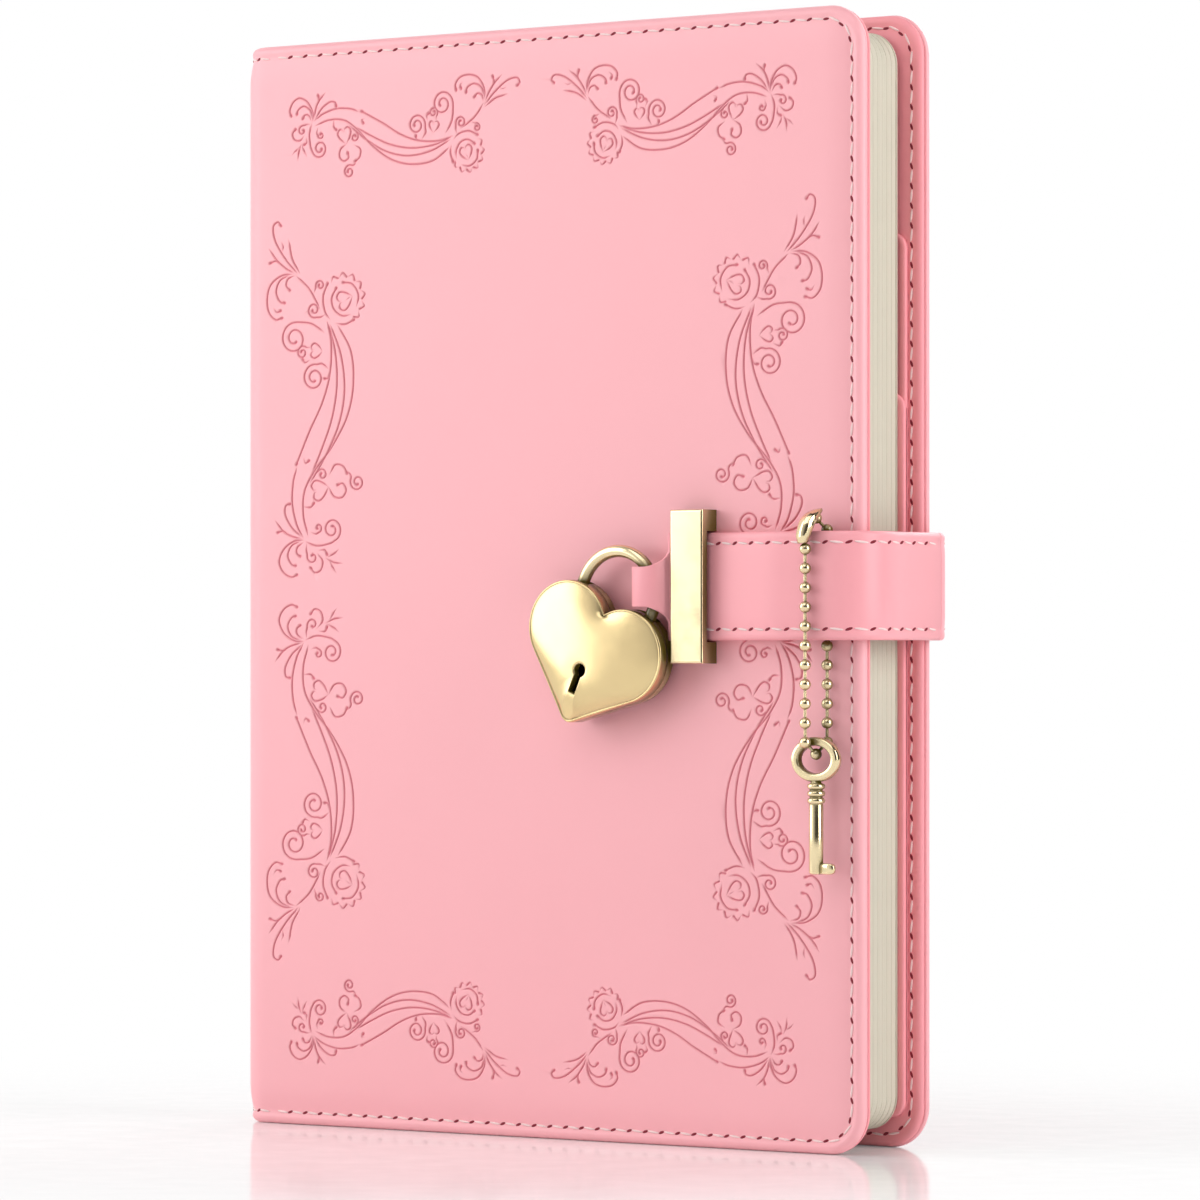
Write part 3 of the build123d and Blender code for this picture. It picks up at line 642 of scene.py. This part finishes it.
for rear, side in ((False, "front"), (True, "back")):
    inner = cover_sheet(
        f"{side}_cover_lining", lining, Patch(lining_start, panel_end, panel_foot, panel_top),
        LINING_EDGE, lining_height, rear=rear, inside=True, ease=lining_ease,
    )
    settle(inner, f"{side}_cover", "lining", f"{side}_lining")


# Stitches: half sizes, slant from the seam and height over its channel

thread_half, thread_slant, thread_lift = (1.3, 0.24, 0.22), math.radians(-7), 0.06
# Needle holes, pebbles of painted shade: half sizes, slant from the seam and height over the channel
hole_half, hole_slant, hole_lift = (0.68, 0.28, 0.1), math.radians(22), 0.02
channel_outside, channel_inside = -0.66, -3.98
spine_seam_margin, cover_seam_margin = 0.4, 1.0
angle_reach = 0.3


def pebble(bands=5, sides=8):
    """Points and faces of a unit sphere along the first axis."""
    rings = [
        [(-math.cos(t), math.sin(t) * math.cos(a), math.sin(t) * math.sin(a)) for a in whole_turn(sides)]
        for t in math.pi * np.arange(1, bands) / bands
    ]
    points, faces = lofted(rings, capped=False)
    end, last = len(points), len(points) - sides
    for k in range(sides):
        nxt = (k + 1) % sides
        faces += [[end, nxt, k], [end + 1, last + k, last + nxt]]
    return np.array(points + [(-1.0, 0.0, 0.0), (1.0, 0.0, 0.0)]), faces


PEBBLE_POINTS, PEBBLE_FACES = pebble()


def pebbles(places, half_sizes, slant):
    """Long pebbles at places (two coordinates, height, angle), turned by a slant from their line."""
    along, across, up = (PEBBLE_POINTS * half_sizes).T
    skins = []
    for first, second, height, angle in places:
        c, s = math.cos(angle + slant), math.sin(angle + slant)
        spots = [first + along * c - across * s, second + along * s + across * c, height + up]
        skins.append((np.stack(spots, 1), PEBBLE_FACES))
    return joined(skins)


def even_steps(stops, pitch):
    """Points at even steps along a line, with the line's angle at each."""
    stops = np.asarray(stops, float)
    along = distances(stops)
    count = round(along[-1] / pitch)
    at = (np.arange(count) + 0.5) * along[-1] / count
    (s, z), (s0, z0), (s1, z1) = (
        [np.interp(at + shift, along, stops[:, k]) for k in (0, 1)] for shift in (0.0, -angle_reach, angle_reach)
    )
    return list(zip(s, z, np.arctan2(z1 - z0, s1 - s0)))


def seam(prefix, steps, place, height, up, body, flip):
    """Stitches of thread along a line, with a dark needle hole between each two: a pebble of painted shade for the
    hole.
    """
    threads = [(a, b, height + thread_lift * up, angle) for a, b, angle in steps]
    holes = [
        ((a + c) / 2, (b + d) / 2, height + hole_lift * up, angle)
        for (a, b, angle), (c, d, _) in zip(steps, steps[1:])
    ]
    made = []
    for name, places, half, slant, material in (
        (f"{prefix}_stitches", threads, thread_half, thread_slant, thread),
        (f"{prefix}_needle_hole_shade", holes, hole_half, hole_slant, stitch_hole),
    ):
        points, faces = pebbles(places, half, slant)
        piece = make(name, place(points), flipped(faces, flip), material)
        made.append(settle(piece, body, "thread"))
    return made


seam_start = span("front_thread")[0][0] - hinge_x
seam_foot, seam_top = stitch_inset, cover_height - stitch_inset
cover_seam = fore_outline(
    seam_start, cover_reach - stitch_inset, seam_foot, seam_top, cover_corner - stitch_inset, count=20
)
for rear, side in ((False, "front"), (True, "back")):
    for where, height, up in (("outside", channel_outside, 1), ("inside", channel_inside, -1)):
        made = seam(
            f"{side}_{where}", even_steps(cover_seam, stitch_pitch), lambda p: wrapped(p, rear), height, up,
            f"{side}_cover", rear != (up < 0),
        )
        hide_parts(f"{side}_thread")
    for where, z in (("top", seam_top), ("foot", seam_foot)):
        spine_seam = [(wrap_start + spine_seam_margin, z), (seam_start - cover_seam_margin, z)]
        seam(
            f"spine_{side}_{where}", even_steps(spine_seam, stitch_pitch), lambda p: wrapped(p, rear),
            channel_outside, 1, "book_block", rear,
        )


# Pages

section_count, section_leaves = 9, 7
page_x, (page_front, _), (page_foot, page_top) = span("page_section_1")
page_back = span(f"page_section_{section_count}")[1][1]
page_corner = 6.5
leaf_count = section_count * section_leaves
leaf_step = (page_back - page_front) / leaf_count
leaf_share, leaf_wave, section_shy = 0.99, 0.03, 0.05
sheet_thickness, endpaper_overhang = 0.28, 0.25


def leaves(name, body, depths, start, inset, thickness, *covered):
    """Stack of leaves from given depths on; the first leaf of each section is a little smaller."""
    rng = np.random.default_rng(seed=7)
    skins = []
    for number, y in enumerate(depths):
        first = number % section_leaves == 0 and len(depths) > 1
        shy = leaf_wave * rng.random() + (section_shy if first else 0.0)
        end = page_x[1] - inset - shy
        outline = fore_outline(start, end, page_foot + shy, page_top - shy, page_corner, count=13)
        skins.append(lofted([[(x, deep, z) for x, z in outline] for deep in (y, y + thickness)], flip=True))
    settle(make(name, *joined(skins), paper, smooth=False), body, "paper", *covered)


leaves(
    "page_block", "book_block", page_front + leaf_step * np.arange(leaf_count), page_x[0], 0.0,
    leaf_step * leaf_share, *(f"page_section_{number + 1}" for number in range(section_count)),
)
leaves(
    "back_endpaper", "book_block", [span("rear_endpaper")[1][0]], page_x[0], -endpaper_overhang, sheet_thickness,
    "rear_endpaper",
)
flyleaf_x, flyleaf_y, _ = span("front_flyleaf")
leaves("turning_leaf", "flyleaf", [flyleaf_y[0]], flyleaf_x[0], 0.0, sheet_thickness, "front_flyleaf")


# Spine cloth, pasted over the backs of the sections

cloth_x, cloth_y, cloth_z = span("spine_cloth")
cloth_ripple, cloth_columns, cloth_rows = 0.06, 24, 60
column_y = np.linspace(*cloth_y, cloth_columns + 1)
ripple = cloth_ripple * np.cos(2 * math.pi * section_count * np.arange(cloth_columns + 1) / cloth_columns)
section = [*zip(cloth_x[0] + cloth_ripple + ripple, column_y), *((cloth_x[1], y) for y in column_y[::-1])]
rings = [[(x, y, z) for x, y in section] for z in np.linspace(*cloth_z, cloth_rows + 1)]
settle(make("spine_lining_cloth", *lofted(rings, flip=True), cloth), "book_block", "cloth", "spine_cloth")


# Card pockets on the back lining: flat leather panels with a rounded, slightly raised edge

pocket_corner = 3.0
POCKET_EDGE = [(0.0, -0.5), (0.0, 0.3), (0.06, 0.46), (0.2, 0.58), (0.42, 0.66), (0.8, 0.66), (1.3, 0.6), (2.2, 0.58)]


def rounded_rectangle(x, z, radius, inset):
    """Outline of a rectangle with round corners, shrunk by an inset, as x and z."""
    r = radius - min(inset, radius * 0.9)
    left, right, low, high = x[0] + inset + r, x[1] - inset - r, z[0] + inset + r, z[1] - inset - r
    corners = (((right, low), -90), ((right, high), 0), ((left, high), 90), ((left, low), 180))
    return [point for centre, start in corners for point in quarter(centre, r, start, count=9)]


for name, node in (("upper_card_pocket", "upper_pocket"), ("lower_card_pocket", "lower_pocket")):
    pocket_x, pocket_y, pocket_z = span(node)
    rings = [
        [(x, pocket_y[1] - height, z) for x, z in rounded_rectangle(pocket_x, pocket_z, pocket_corner, inset)]
        for inset, height in POCKET_EDGE
    ]
    settle(make(name, *lofted(rings), lining), "back_cover", "lining", node)


# Strap

(strap_end_x, strap_face_x), (_, strap_cut_y), strap_z = span("strap_face")
strap_middle_z = sum(strap_z) / 2
strap_half = (strap_z[1] - strap_z[0]) / 2
face_layer, back_layer = 1.0, 0.7
strap_rest, strap_lift = 0.5, 2.9
strap_side_x = strap_face_x - face_layer
lifted_y = front_y - strap_lift - back_layer
under_y = front_y - strap_rest - back_layer
lift_start, lift_length = 2.8, 12.5
lift_x = span("strap_keeper")[0][1] + lift_start
lift_bend, side_bend, tail_bend = 25.0, 7.2, 3.2
tail_gap = 0.1
tail_y = back_y + back_layer
tail_end_x = span("strap_tail_face")[0][0]
strap_stitch, strap_channel, strap_pitch, strap_seam_margin = 8.1, 0.84, 4.2, 0.8

# Half of the strap's section, across its width and out of its face
STRAP_FACE = [
    (0.0, 1.0), (3.5, 1.0), (6.0, 0.99), (7.0, 0.95), (7.6, 0.88), (8.1, 0.84), (8.6, 0.88), (9.1, 0.93),
    (9.5, 0.9), (9.85, 0.76), (10.08, 0.52), (10.18, 0.26), (10.12, 0.08),
]
STRAP_BACK = [
    (9.95, 0.0), (10.06, -0.1), (10.08, -0.35), (9.95, -0.56), (9.7, -0.67), (6.0, -0.7), (0.0, -0.7),
]


def rounded_path(points, radii, step=0.5):
    """Plan line through points with round corners, at fairly even steps."""
    p = [complex(*point) for point in points]
    line = p[:1]
    for before, corner, after, radius in zip(p, p[1:], p[2:], radii):
        a, b = ((end - corner) / abs(end - corner) for end in (before, after))
        half = abs(np.angle(b / a)) / 2
        centre = corner + (a + b) / abs(a + b) * radius / math.sin(half)
        first, last = (corner + side * radius / math.tan(half) - centre for side in (a, b))
        sweep = np.angle(last / first)
        share = np.linspace(0, 1, max(int(abs(sweep) * radius / step), 6))
        line += list(centre + first * np.exp(1j * sweep * share))
    line = np.array(line + p[-1:])
    return np.stack([line.real, line.imag], 1)


def frames_along(line):
    """Unit side directions of a plan line, to the right of its run."""
    run = np.gradient(line, axis=0)
    run /= np.linalg.norm(run, axis=1)[:, None]
    return np.stack([run[:, 1], -run[:, 0]], 1)


def strap_band(name, line, body, *covered):
    """Strap of two layers with rolled edges along a plan line, and the stitches along its sides."""
    along = distances(line)
    side = frames_along(line)

    def place(points):
        """Puts (distance along, width, height) on the plan line."""
        t, w, n = np.asarray(points, float).T
        x, y = (np.interp(t, along, line[:, k]) for k in (0, 1))
        dx, dy = (np.interp(t, along, side[:, k]) for k in (0, 1))
        return np.stack([x + dx * n, y + dy * n, strap_middle_z + w], 1)

    right = STRAP_FACE[1:] + STRAP_BACK[:-1]
    section = [STRAP_FACE[0]] + right + [STRAP_BACK[-1]] + [(-w, n) for w, n in right[::-1]]
    points, faces = lofted([[(t, w, n) for w, n in section] for t in along])
    settle(make(name, place(points), faces, strap_leather), body, "leather", *covered)
    for row, w in (("upper", strap_stitch), ("lower", -strap_stitch)):
        ends = [(strap_seam_margin, w), (along[-1] - strap_seam_margin, w)]
        seam(f"{name}_{row}", even_steps(ends, strap_pitch), place, strap_channel, 1, body, True)


front_line = rounded_path(
    [
        (strap_end_x, under_y), (lift_x, under_y), (lift_x + lift_length, lifted_y), (strap_side_x, lifted_y),
        (strap_side_x, strap_cut_y),
    ],
    [lift_bend, lift_bend, side_bend],
)
tail_line = rounded_path(
    [(strap_side_x, strap_cut_y + tail_gap), (strap_side_x, tail_y), (tail_end_x, tail_y)], [tail_bend]
)
strap_band("strap", front_line, "front_cover", "strap_face", "strap_backing")
strap_band("strap_tail", tail_line, "back_cover", "strap_tail_face", "strap_tail_backing")


# Tongue loop: the strap's end narrows and folds round the shackle

loop_x = span("strap_loop")[0]
half_wall = 0.4
loop_at = np.array(joints["padlock_swing"]["pos_m"][:2]) / MM
loop_middle = loop_at[0] - loop_x[0] - half_wall
tongue_half, tongue_flare, tongue_edge, tongue_overlap = 3.8, 3.4, 0.16, 1.0
shoulder_x = loop_x[1] - tongue_overlap
SHOULDER_STOPS = [tongue_overlap, 0.0, -0.02, -0.3, -0.8, -1.4, -2.0, -2.6, -3.2]
stop_apart = 0.2


def tongue_width(x):
    """Half width of the tongue at a place along the cover."""
    if x >= shoulder_x:
        return strap_half
    run = np.clip(x - (shoulder_x - tongue_flare), 0, tongue_flare)
    return tongue_half + tongue_flare - math.sqrt(max(tongue_flare**2 - run**2, 0.0))


def tangent_angle(point, side):
    """Angle on the loop's circle where a line from a point touches it."""
    away = np.array(point) - loop_at
    distance = np.linalg.norm(away)
    return math.atan2(away[1], away[0]) + side * math.acos(loop_middle / distance)


front_root = (shoulder_x + tongue_overlap, under_y - face_layer / 2)
back_root = (shoulder_x + tongue_overlap, under_y + back_layer / 2)
first = tangent_angle(front_root, -1) % (2 * math.pi)
last = tangent_angle(back_root, 1) % (2 * math.pi)
turns = np.linspace(first, last, 40)
circle = loop_at + loop_middle * np.stack([np.cos(turns), np.sin(turns)], 1)
near_x = np.array(SHOULDER_STOPS) + shoulder_x


def run_in(root, touch):
    """Straight run from the strap to the loop's circle, closer together where the shoulder curves."""
    stops = np.append(near_x[near_x > touch[0] + stop_apart], touch[0])
    share = (stops - root[0]) / (touch[0] - root[0])
    return np.array(root) + share[:, None] * (touch - np.array(root))


tongue_line = np.vstack([run_in(front_root, circle[0]), circle[1:-1], run_in(back_root, circle[-1])[::-1]])
rounding = [(tongue_edge, 0.0), (tongue_edge / 3, tongue_edge / 3), (0.0, tongue_edge)]
side_section = [(w, half_wall - n) for w, n in rounding] + [(w, n - half_wall) for w, n in rounding[::-1]]
rings = []
for (x, y), (dx, dy) in zip(tongue_line, frames_along(tongue_line)):
    half = tongue_width(x)
    section = mirrored([(half - w, n) for w, n in side_section])
    rings.append([(x + dx * n, y + dy * n, strap_middle_z + w) for w, n in section])
settle(make("strap_tongue", *lofted(rings, flip=True), strap_leather), "front_cover", "leather", "strap_loop")


# Padlock: pillowed front of the heart, in its own plane (u across, v up)

lock_tilt = math.radians(24.0)
lock_x, lock_z = 18.686, 101.511
lobe_radius, lobe_offset, lobe_drop = 9.0, 7.0, 6.0
heart_tip, tip_round = 23.3, 2.0
dome_height, dome_power, dome_fullness = 4.0, 2.1, 0.86
dome_soften, soften_power = 45, 0.85
key_drop, key_bore, key_slot, key_slot_length = 12.0, 1.5, 0.85, 4.9
leg_offset, leg_bore = 8.5, 1.3
seam_y = span("padlock_back")[1][0]

# Edge of the shell from the seam to the dome: distance in from the outline, and height over the seam
SHELL_EDGE = [
    (0.1, 0.02), (0.0, 0.12), (0.0, 2.15), (0.03, 2.3), (0.1, 2.44), (0.2, 2.53), (0.32, 2.56), (0.42, 2.53),
    (0.5, 2.46), (0.58, 2.48),
]

# Edge of the keyhole from the dome inwards: distance in from the hole's outline, and depth under the dome
KEYHOLE_EDGE = [(0.1, 0.03), (0.2, 0.12), (0.26, 0.3), (0.26, 1.6)]
seam_height = 0.1


def heart_radius(angles):
    """Distance from the keyhole's centre to the heart's outline at each angle."""
    slope = math.atan2(heart_tip - lobe_drop, lobe_offset)
    slope -= math.asin(lobe_radius / math.hypot(lobe_offset, heart_tip - lobe_drop))
    notch = math.atan2(math.sqrt(lobe_radius**2 - lobe_offset**2), -lobe_offset)
    lobe = np.linspace(notch, slope - math.pi / 2, 240)
    tip = np.linspace(slope - math.pi / 2, -math.pi / 2, 40)
    tip_centre = tip_round / math.cos(slope) - heart_tip
    lobe = np.stack([lobe_offset + lobe_radius * np.cos(lobe), lobe_radius * np.sin(lobe) - lobe_drop], 1)
    tip = np.stack([tip_round * np.cos(tip), tip_centre + tip_round * np.sin(tip)], 1)
    u, v = np.vstack([lobe, np.linspace(lobe[-1], tip[0], 80)[1:-1], tip]).T + [[0.0], [key_drop]]
    turn = np.arctan2(v, u)
    order = np.argsort(turn)
    folded = np.where(np.cos(angles) < 0, math.pi - angles, angles)
    folded = (folded + math.pi) % (2 * math.pi) - math.pi
    return np.interp(folded, turn[order], np.hypot(u, v)[order])


def keyhole_radius(angles):
    """Distance from the keyhole's centre to its edge at each angle."""
    down = np.maximum(-np.sin(angles), 1e-6)
    across = np.maximum(np.abs(np.cos(angles)), 1e-6)
    slot = np.minimum(key_slot_length / down, key_slot / across)
    return np.where(np.sin(angles) < 0, np.maximum(slot, key_bore), key_bore)


def softened(values, spread):
    """Values round a circle, smoothed."""
    count = len(values)
    steps = np.minimum(np.arange(count), count - np.arange(count))
    weights = np.exp(-0.5 * (steps / spread) ** 2)
    return np.real(np.fft.ifft(np.fft.fft(values) * np.fft.fft(weights / weights.sum())))


angles = whole_turn(360)
outline, keyhole = heart_radius(angles), keyhole_radius(angles)
foot_inset, foot_height = SHELL_EDGE[-1]


def shell_ring(radius, level):
    """Ring round the keyhole's centre from its distances and its heights over the seam."""
    u, v = radius * np.cos(angles), radius * np.sin(angles) - key_drop
    x = lock_x + u * math.cos(lock_tilt) + v * math.sin(lock_tilt)
    z = lock_z - u * math.sin(lock_tilt) + v * math.cos(lock_tilt)
    return np.stack([x, np.broadcast_to(seam_y - level, x.shape), z], 1)


rings = []
for inset, height in SHELL_EDGE:
    radius, level = outline - inset, height
    if height < seam_height:
        off = np.abs(np.abs(radius * np.cos(angles)) - leg_offset)
        notch = (np.sin(angles) > 0) & (off < leg_bore)
        level = np.where(notch, np.sqrt(np.maximum(leg_bore**2 - off**2, 0)), height)
    rings.append(shell_ring(radius, level))
for share in np.concatenate([np.linspace(0.995, 0.9, 12), np.linspace(0.88, 0.0, 34)]):
    edge = softened(outline, dome_soften * (1 - share) ** soften_power) - foot_inset
    rise = (dome_height - foot_height) * (1 - share**dome_power) ** dome_fullness
    rings.append(shell_ring(keyhole + (edge - keyhole) * share, foot_height + rise))
rings += [shell_ring(keyhole - inset, dome_height - depth) for inset, depth in KEYHOLE_EDGE]
settle(make("padlock_shell", *lofted(rings, capped=False), satin_gold), "padlock", "gold", "padlock_front")


# Chain's folded tab over the strap's top edge, in the chain's own plane (u from front to back, q across)

bead = 2.2
chain_x, chain_y, chain_z = (value / MM for value in joints["chain_swing"]["pos_m"])
chain_run = np.array([(high - low - bead) / 2 for low, high in span("chain_beads")[:2]])
chain_radius = np.linalg.norm(chain_run)
chain_run /= chain_radius
tab_thickness = 0.2
tab_clear = 0.28
TAB_PATH = [(-1.0, -2.3), (-1.04, -0.5), (-0.84, 0.5), (-0.5, 0.86), (-0.08, 1.05), (0.3, 1.12)]
TAB_WIDTH = [(0.0, 0.66), (0.12, 0.94), (0.36, 1.12), (0.62, 1.02), (0.84, 0.68), (1.0, 0.2)]
TAB_SECTION = mirrored([(-1.5, -1.7), (-1.36, -0.62), (-1.3, -0.5), (-0.76, -0.03), (-0.66, 0.0)])


def on_chain(points):
    """Places in the room of points given as u, q and height."""
    u, q, z = np.asarray(points, float).T
    x = chain_x + u * chain_run[0] + q * chain_run[1]
    y = chain_y + u * chain_run[1] - q * chain_run[0]
    return np.stack([x, y, z], 1)


outer = chain_radius + bead / 2 + tab_clear
path = spline([(u * outer, chain_z + (z * outer if z > 0 else z)) for u, z in TAB_PATH], count=6)
widths = np.interp(np.linspace(0, 1, len(path)), *zip(*TAB_WIDTH))
rings = []
for (u, z), (du, dz), wide in zip(path, -frames_along(path), widths):
    ring = []
    for section, inset in ((TAB_SECTION, 0.0), (TAB_SECTION[::-1], tab_thickness)):
        for q, out in section:
            away = out * wide - inset
            ring.append((u + du * away, (q - math.copysign(inset, q)) * wide, z + dz * away))
    rings.append(on_chain(ring))
settle(make("chain_tab", *lofted(rings), gold), "chain", "gold", "chain_connector")


# Key: a flat bow with bevelled edges, a turned shaft with three collars, and a bit with a round end

key_x, key_y = (joints["key_swing"]["pos_m"][axis] / MM for axis in (0, 1))
key_foot, key_top = span("key")[2]
bow_half_width, bow_half_height, bow_band = 5.15, 4.2, 1.6
bow_z = key_top - bow_half_height
shaft_radius, collar_radius, collar_height, collar_step = 1.35, 1.7, 1.1, 1.35
collar_count, collar_groove = 3, 0.1
bit_reach, bit_half_height, bit_half_depth, bit_roundness = 2.8, 1.05, 0.7, 0.45
bit_end = span("key")[0][0] + bow_half_width + shaft_radius + bit_reach

# Sections: across the bow's band and from front to back, and the bit's share of its size near its round end
BOW_CORNER = [(0.45, -1.0), (0.53, -0.98), (0.74, -0.72), (0.8, -0.62)]
BOW_SECTION = mirrored(BOW_CORNER + [(w, -n) for w, n in BOW_CORNER[::-1]])
BIT_END = [(1.0, 1.0), (0.8, 0.97), (0.5, 0.88), (0.25, 0.74), (0.08, 0.52), (0.0, 0.2)]


def squared(value):
    """Sine or cosine that makes a circle nearly a rectangle."""
    return math.copysign(abs(value) ** bit_roundness, value)


bow_across, bow_up = bow_half_width - bow_band / 2, bow_half_height - bow_band / 2
bow = [
    [
        (key_x + (bow_across + w) * math.cos(a), key_y + deep, bow_z + (bow_up + w) * math.sin(a))
        for w, deep in BOW_SECTION
    ]
    for a in whole_turn(96)
]

# Turned part: radius and height from the neck past the collars to the end of the shaft
neck_z = bow_z - bow_half_height
turned = [(0.95, neck_z + bow_band / 2), (1.0, neck_z - 0.1)]
for number in range(collar_count):
    base = neck_z - (number + 1) * collar_step
    for share in np.linspace(1, 0, 9):
        bulge = math.sqrt(max(1 - (2 * share - 1) ** 2, 0))
        radius = shaft_radius + (collar_radius - shaft_radius) * bulge - collar_groove * (1 - bulge)
        turned.append((radius, base + share * collar_height))
turned += [
    (shaft_radius, turned[-1][1] - 0.2), (shaft_radius, key_foot + 0.4), (1.24, key_foot + 0.12), (1.0, key_foot),
]
around = [(math.cos(a), math.sin(a)) for a in whole_turn(32)]
shaft = [[(key_x + r * c, key_y + r * s, z) for c, s in around] for r, z in turned]
bit = [
    [
        (
            bit_end - left_over, key_y + size * bit_half_depth * squared(c),
            key_foot + bit_half_height + size * bit_half_height * squared(s),
        )
        for c, s in around
    ]
    for left_over, size in [(bit_end - key_x, 1.0), *BIT_END]
]
key = joined([lofted(bow, closed=True), lofted(shaft, flip=True), lofted(bit)])
settle(make("chain_key", *key, gold), "key", "gold", "key")


# Studio

floor_material = shader("studio_floor", srgb(250, 249, 249), 0.1, vary=0.005)


def white_backdrop(material, near, far, near_share):
    """Shows a material as white to the camera and in mirrors: wholly from a distance on, and in part near
    the object, where it keeps shadow and reflection."""
    tree = material.node_tree
    rays = tree.nodes.new("ShaderNodeLightPath").outputs
    seen = rays["Is Camera Ray"]
    for ray in ("Is Glossy Ray", "Is Transmission Ray"):
        seen = add_node(tree, "Math", {0: seen, 1: rays[ray]}, "MAXIMUM").outputs[0]
    place = tree.nodes.new("ShaderNodeTexCoord").outputs["Object"]
    distance = add_node(tree, "VectorMath", {0: place}, "LENGTH").outputs["Value"]
    away = ranged(tree, distance, near * MM, far * MM, near_share, 1.0, smooth=True)
    share = add_node(tree, "Math", {0: seen, 1: away}, "MULTIPLY").outputs[0]
    glow = tree.nodes.new("ShaderNodeEmission").outputs[0]
    mix = add_node(tree, "MixShader", {0: share, 1: tree.nodes["Principled BSDF"].outputs[0], 2: glow})
    tree.links.new(mix.outputs[0], tree.nodes["Material Output"].inputs["Surface"])


white_backdrop(floor_material, near=80.0, far=260.0, near_share=0.1)


def cove(width, near, far, height, radius):
    """Floor that curves up into a backdrop."""
    profile = [(near, 0.0), *quarter((far - radius, radius), radius, -90, count=24), (far, height)]
    points = [(x, y, z) for y, z in profile for x in (-width, width)]
    faces = [[2 * k, 2 * k + 1, 2 * k + 3, 2 * k + 2] for k in range(len(profile) - 1)]
    return make("studio_cove", points, faces, floor_material)


view_yaw = math.radians(35.113)
view_distance = 1165.44
view_focal = 6000.92
image_size = 1200
view_target = Vector((spine_x + 80.11, front_y + 12.0, 93.28))
view_centre_row = 656

floor = cove(width=2600.0, near=-1500.0, far=2200.0, height=3000.0, radius=1700.0)
floor.rotation_euler = (0, 0, view_yaw)


def area_light(name, place, aim, size, radiance):
    """Soft rectangular light of even brightness."""
    data = bpy.data.lights.new(name, "AREA")
    data.shape = "RECTANGLE"
    data.size, data.size_y = size[0] * MM, size[1] * MM
    data.energy = radiance * math.pi * data.size * data.size_y
    light = bpy.data.objects.new(name, data)
    light.location = Vector(place) * MM
    light.rotation_euler = (Vector(aim) - Vector(place)).to_track_quat("-Z", "Y").to_euler()
    bpy.context.scene.collection.objects.link(light)


# Softbox where a flat front mirrors it to the camera, a fill at the right, and soft lights from above and
# behind: each has its place, aim, size and radiance
softbox_yaw, softbox_away, softbox_height = math.radians(51), 690.0, 378
softbox_place = (-math.sin(softbox_yaw) * softbox_away, -math.cos(softbox_yaw) * softbox_away, softbox_height)
area_light("softbox", softbox_place, aim=(0, 0, 222), size=(510, 648), radiance=2.3)
area_light("fill_light", (1250, 60, 560), aim=(0, 0, 105), size=(700, 1080), radiance=5.2)
area_light("top_light", (150, -700, 1100), aim=(0, 0, 120), size=(900, 900), radiance=1.5)
area_light("back_light", (0, 1300, 800), aim=(0, 0, 105), size=(1000, 1000), radiance=2.8)

# Room: bright at the left and front, dark at the right and behind
bright_side, bright_from, dark_strength, bright_strength = (-0.85, -0.35, 0), 0.7, 0.05, 0.9
world = bpy.data.worlds.new("studio")
bpy.context.scene.world = world
world.use_nodes = True
tree = world.node_tree
place = tree.nodes.new("ShaderNodeTexCoord").outputs["Generated"]
toward = add_node(tree, "VectorMath", {0: place, 1: bright_side}, "DOT_PRODUCT").outputs["Value"]
background = tree.nodes["Background"].inputs
background["Color"].default_value = (1, 1, 1, 1)
tree.links.new(ranged(tree, toward, 0.0, bright_from, dark_strength, bright_strength), background["Strength"])

sensor_width = 36
camera_data = bpy.data.cameras.new("camera")
camera_data.sensor_width = sensor_width
camera_data.lens = view_focal / image_size * sensor_width
camera_data.shift_y = (view_centre_row - image_size / 2) / image_size
camera_data.clip_end = 10
camera = bpy.data.objects.new("camera", camera_data)
look = Vector((-math.sin(view_yaw), math.cos(view_yaw), 0))
camera.location = (view_target - look * view_distance) * MM
camera.rotation_euler = look.to_track_quat("-Z", "Y").to_euler()
bpy.context.scene.collection.objects.link(camera)
bpy.context.scene.camera = camera
bpy.context.scene.view_settings.view_transform = "Standard"
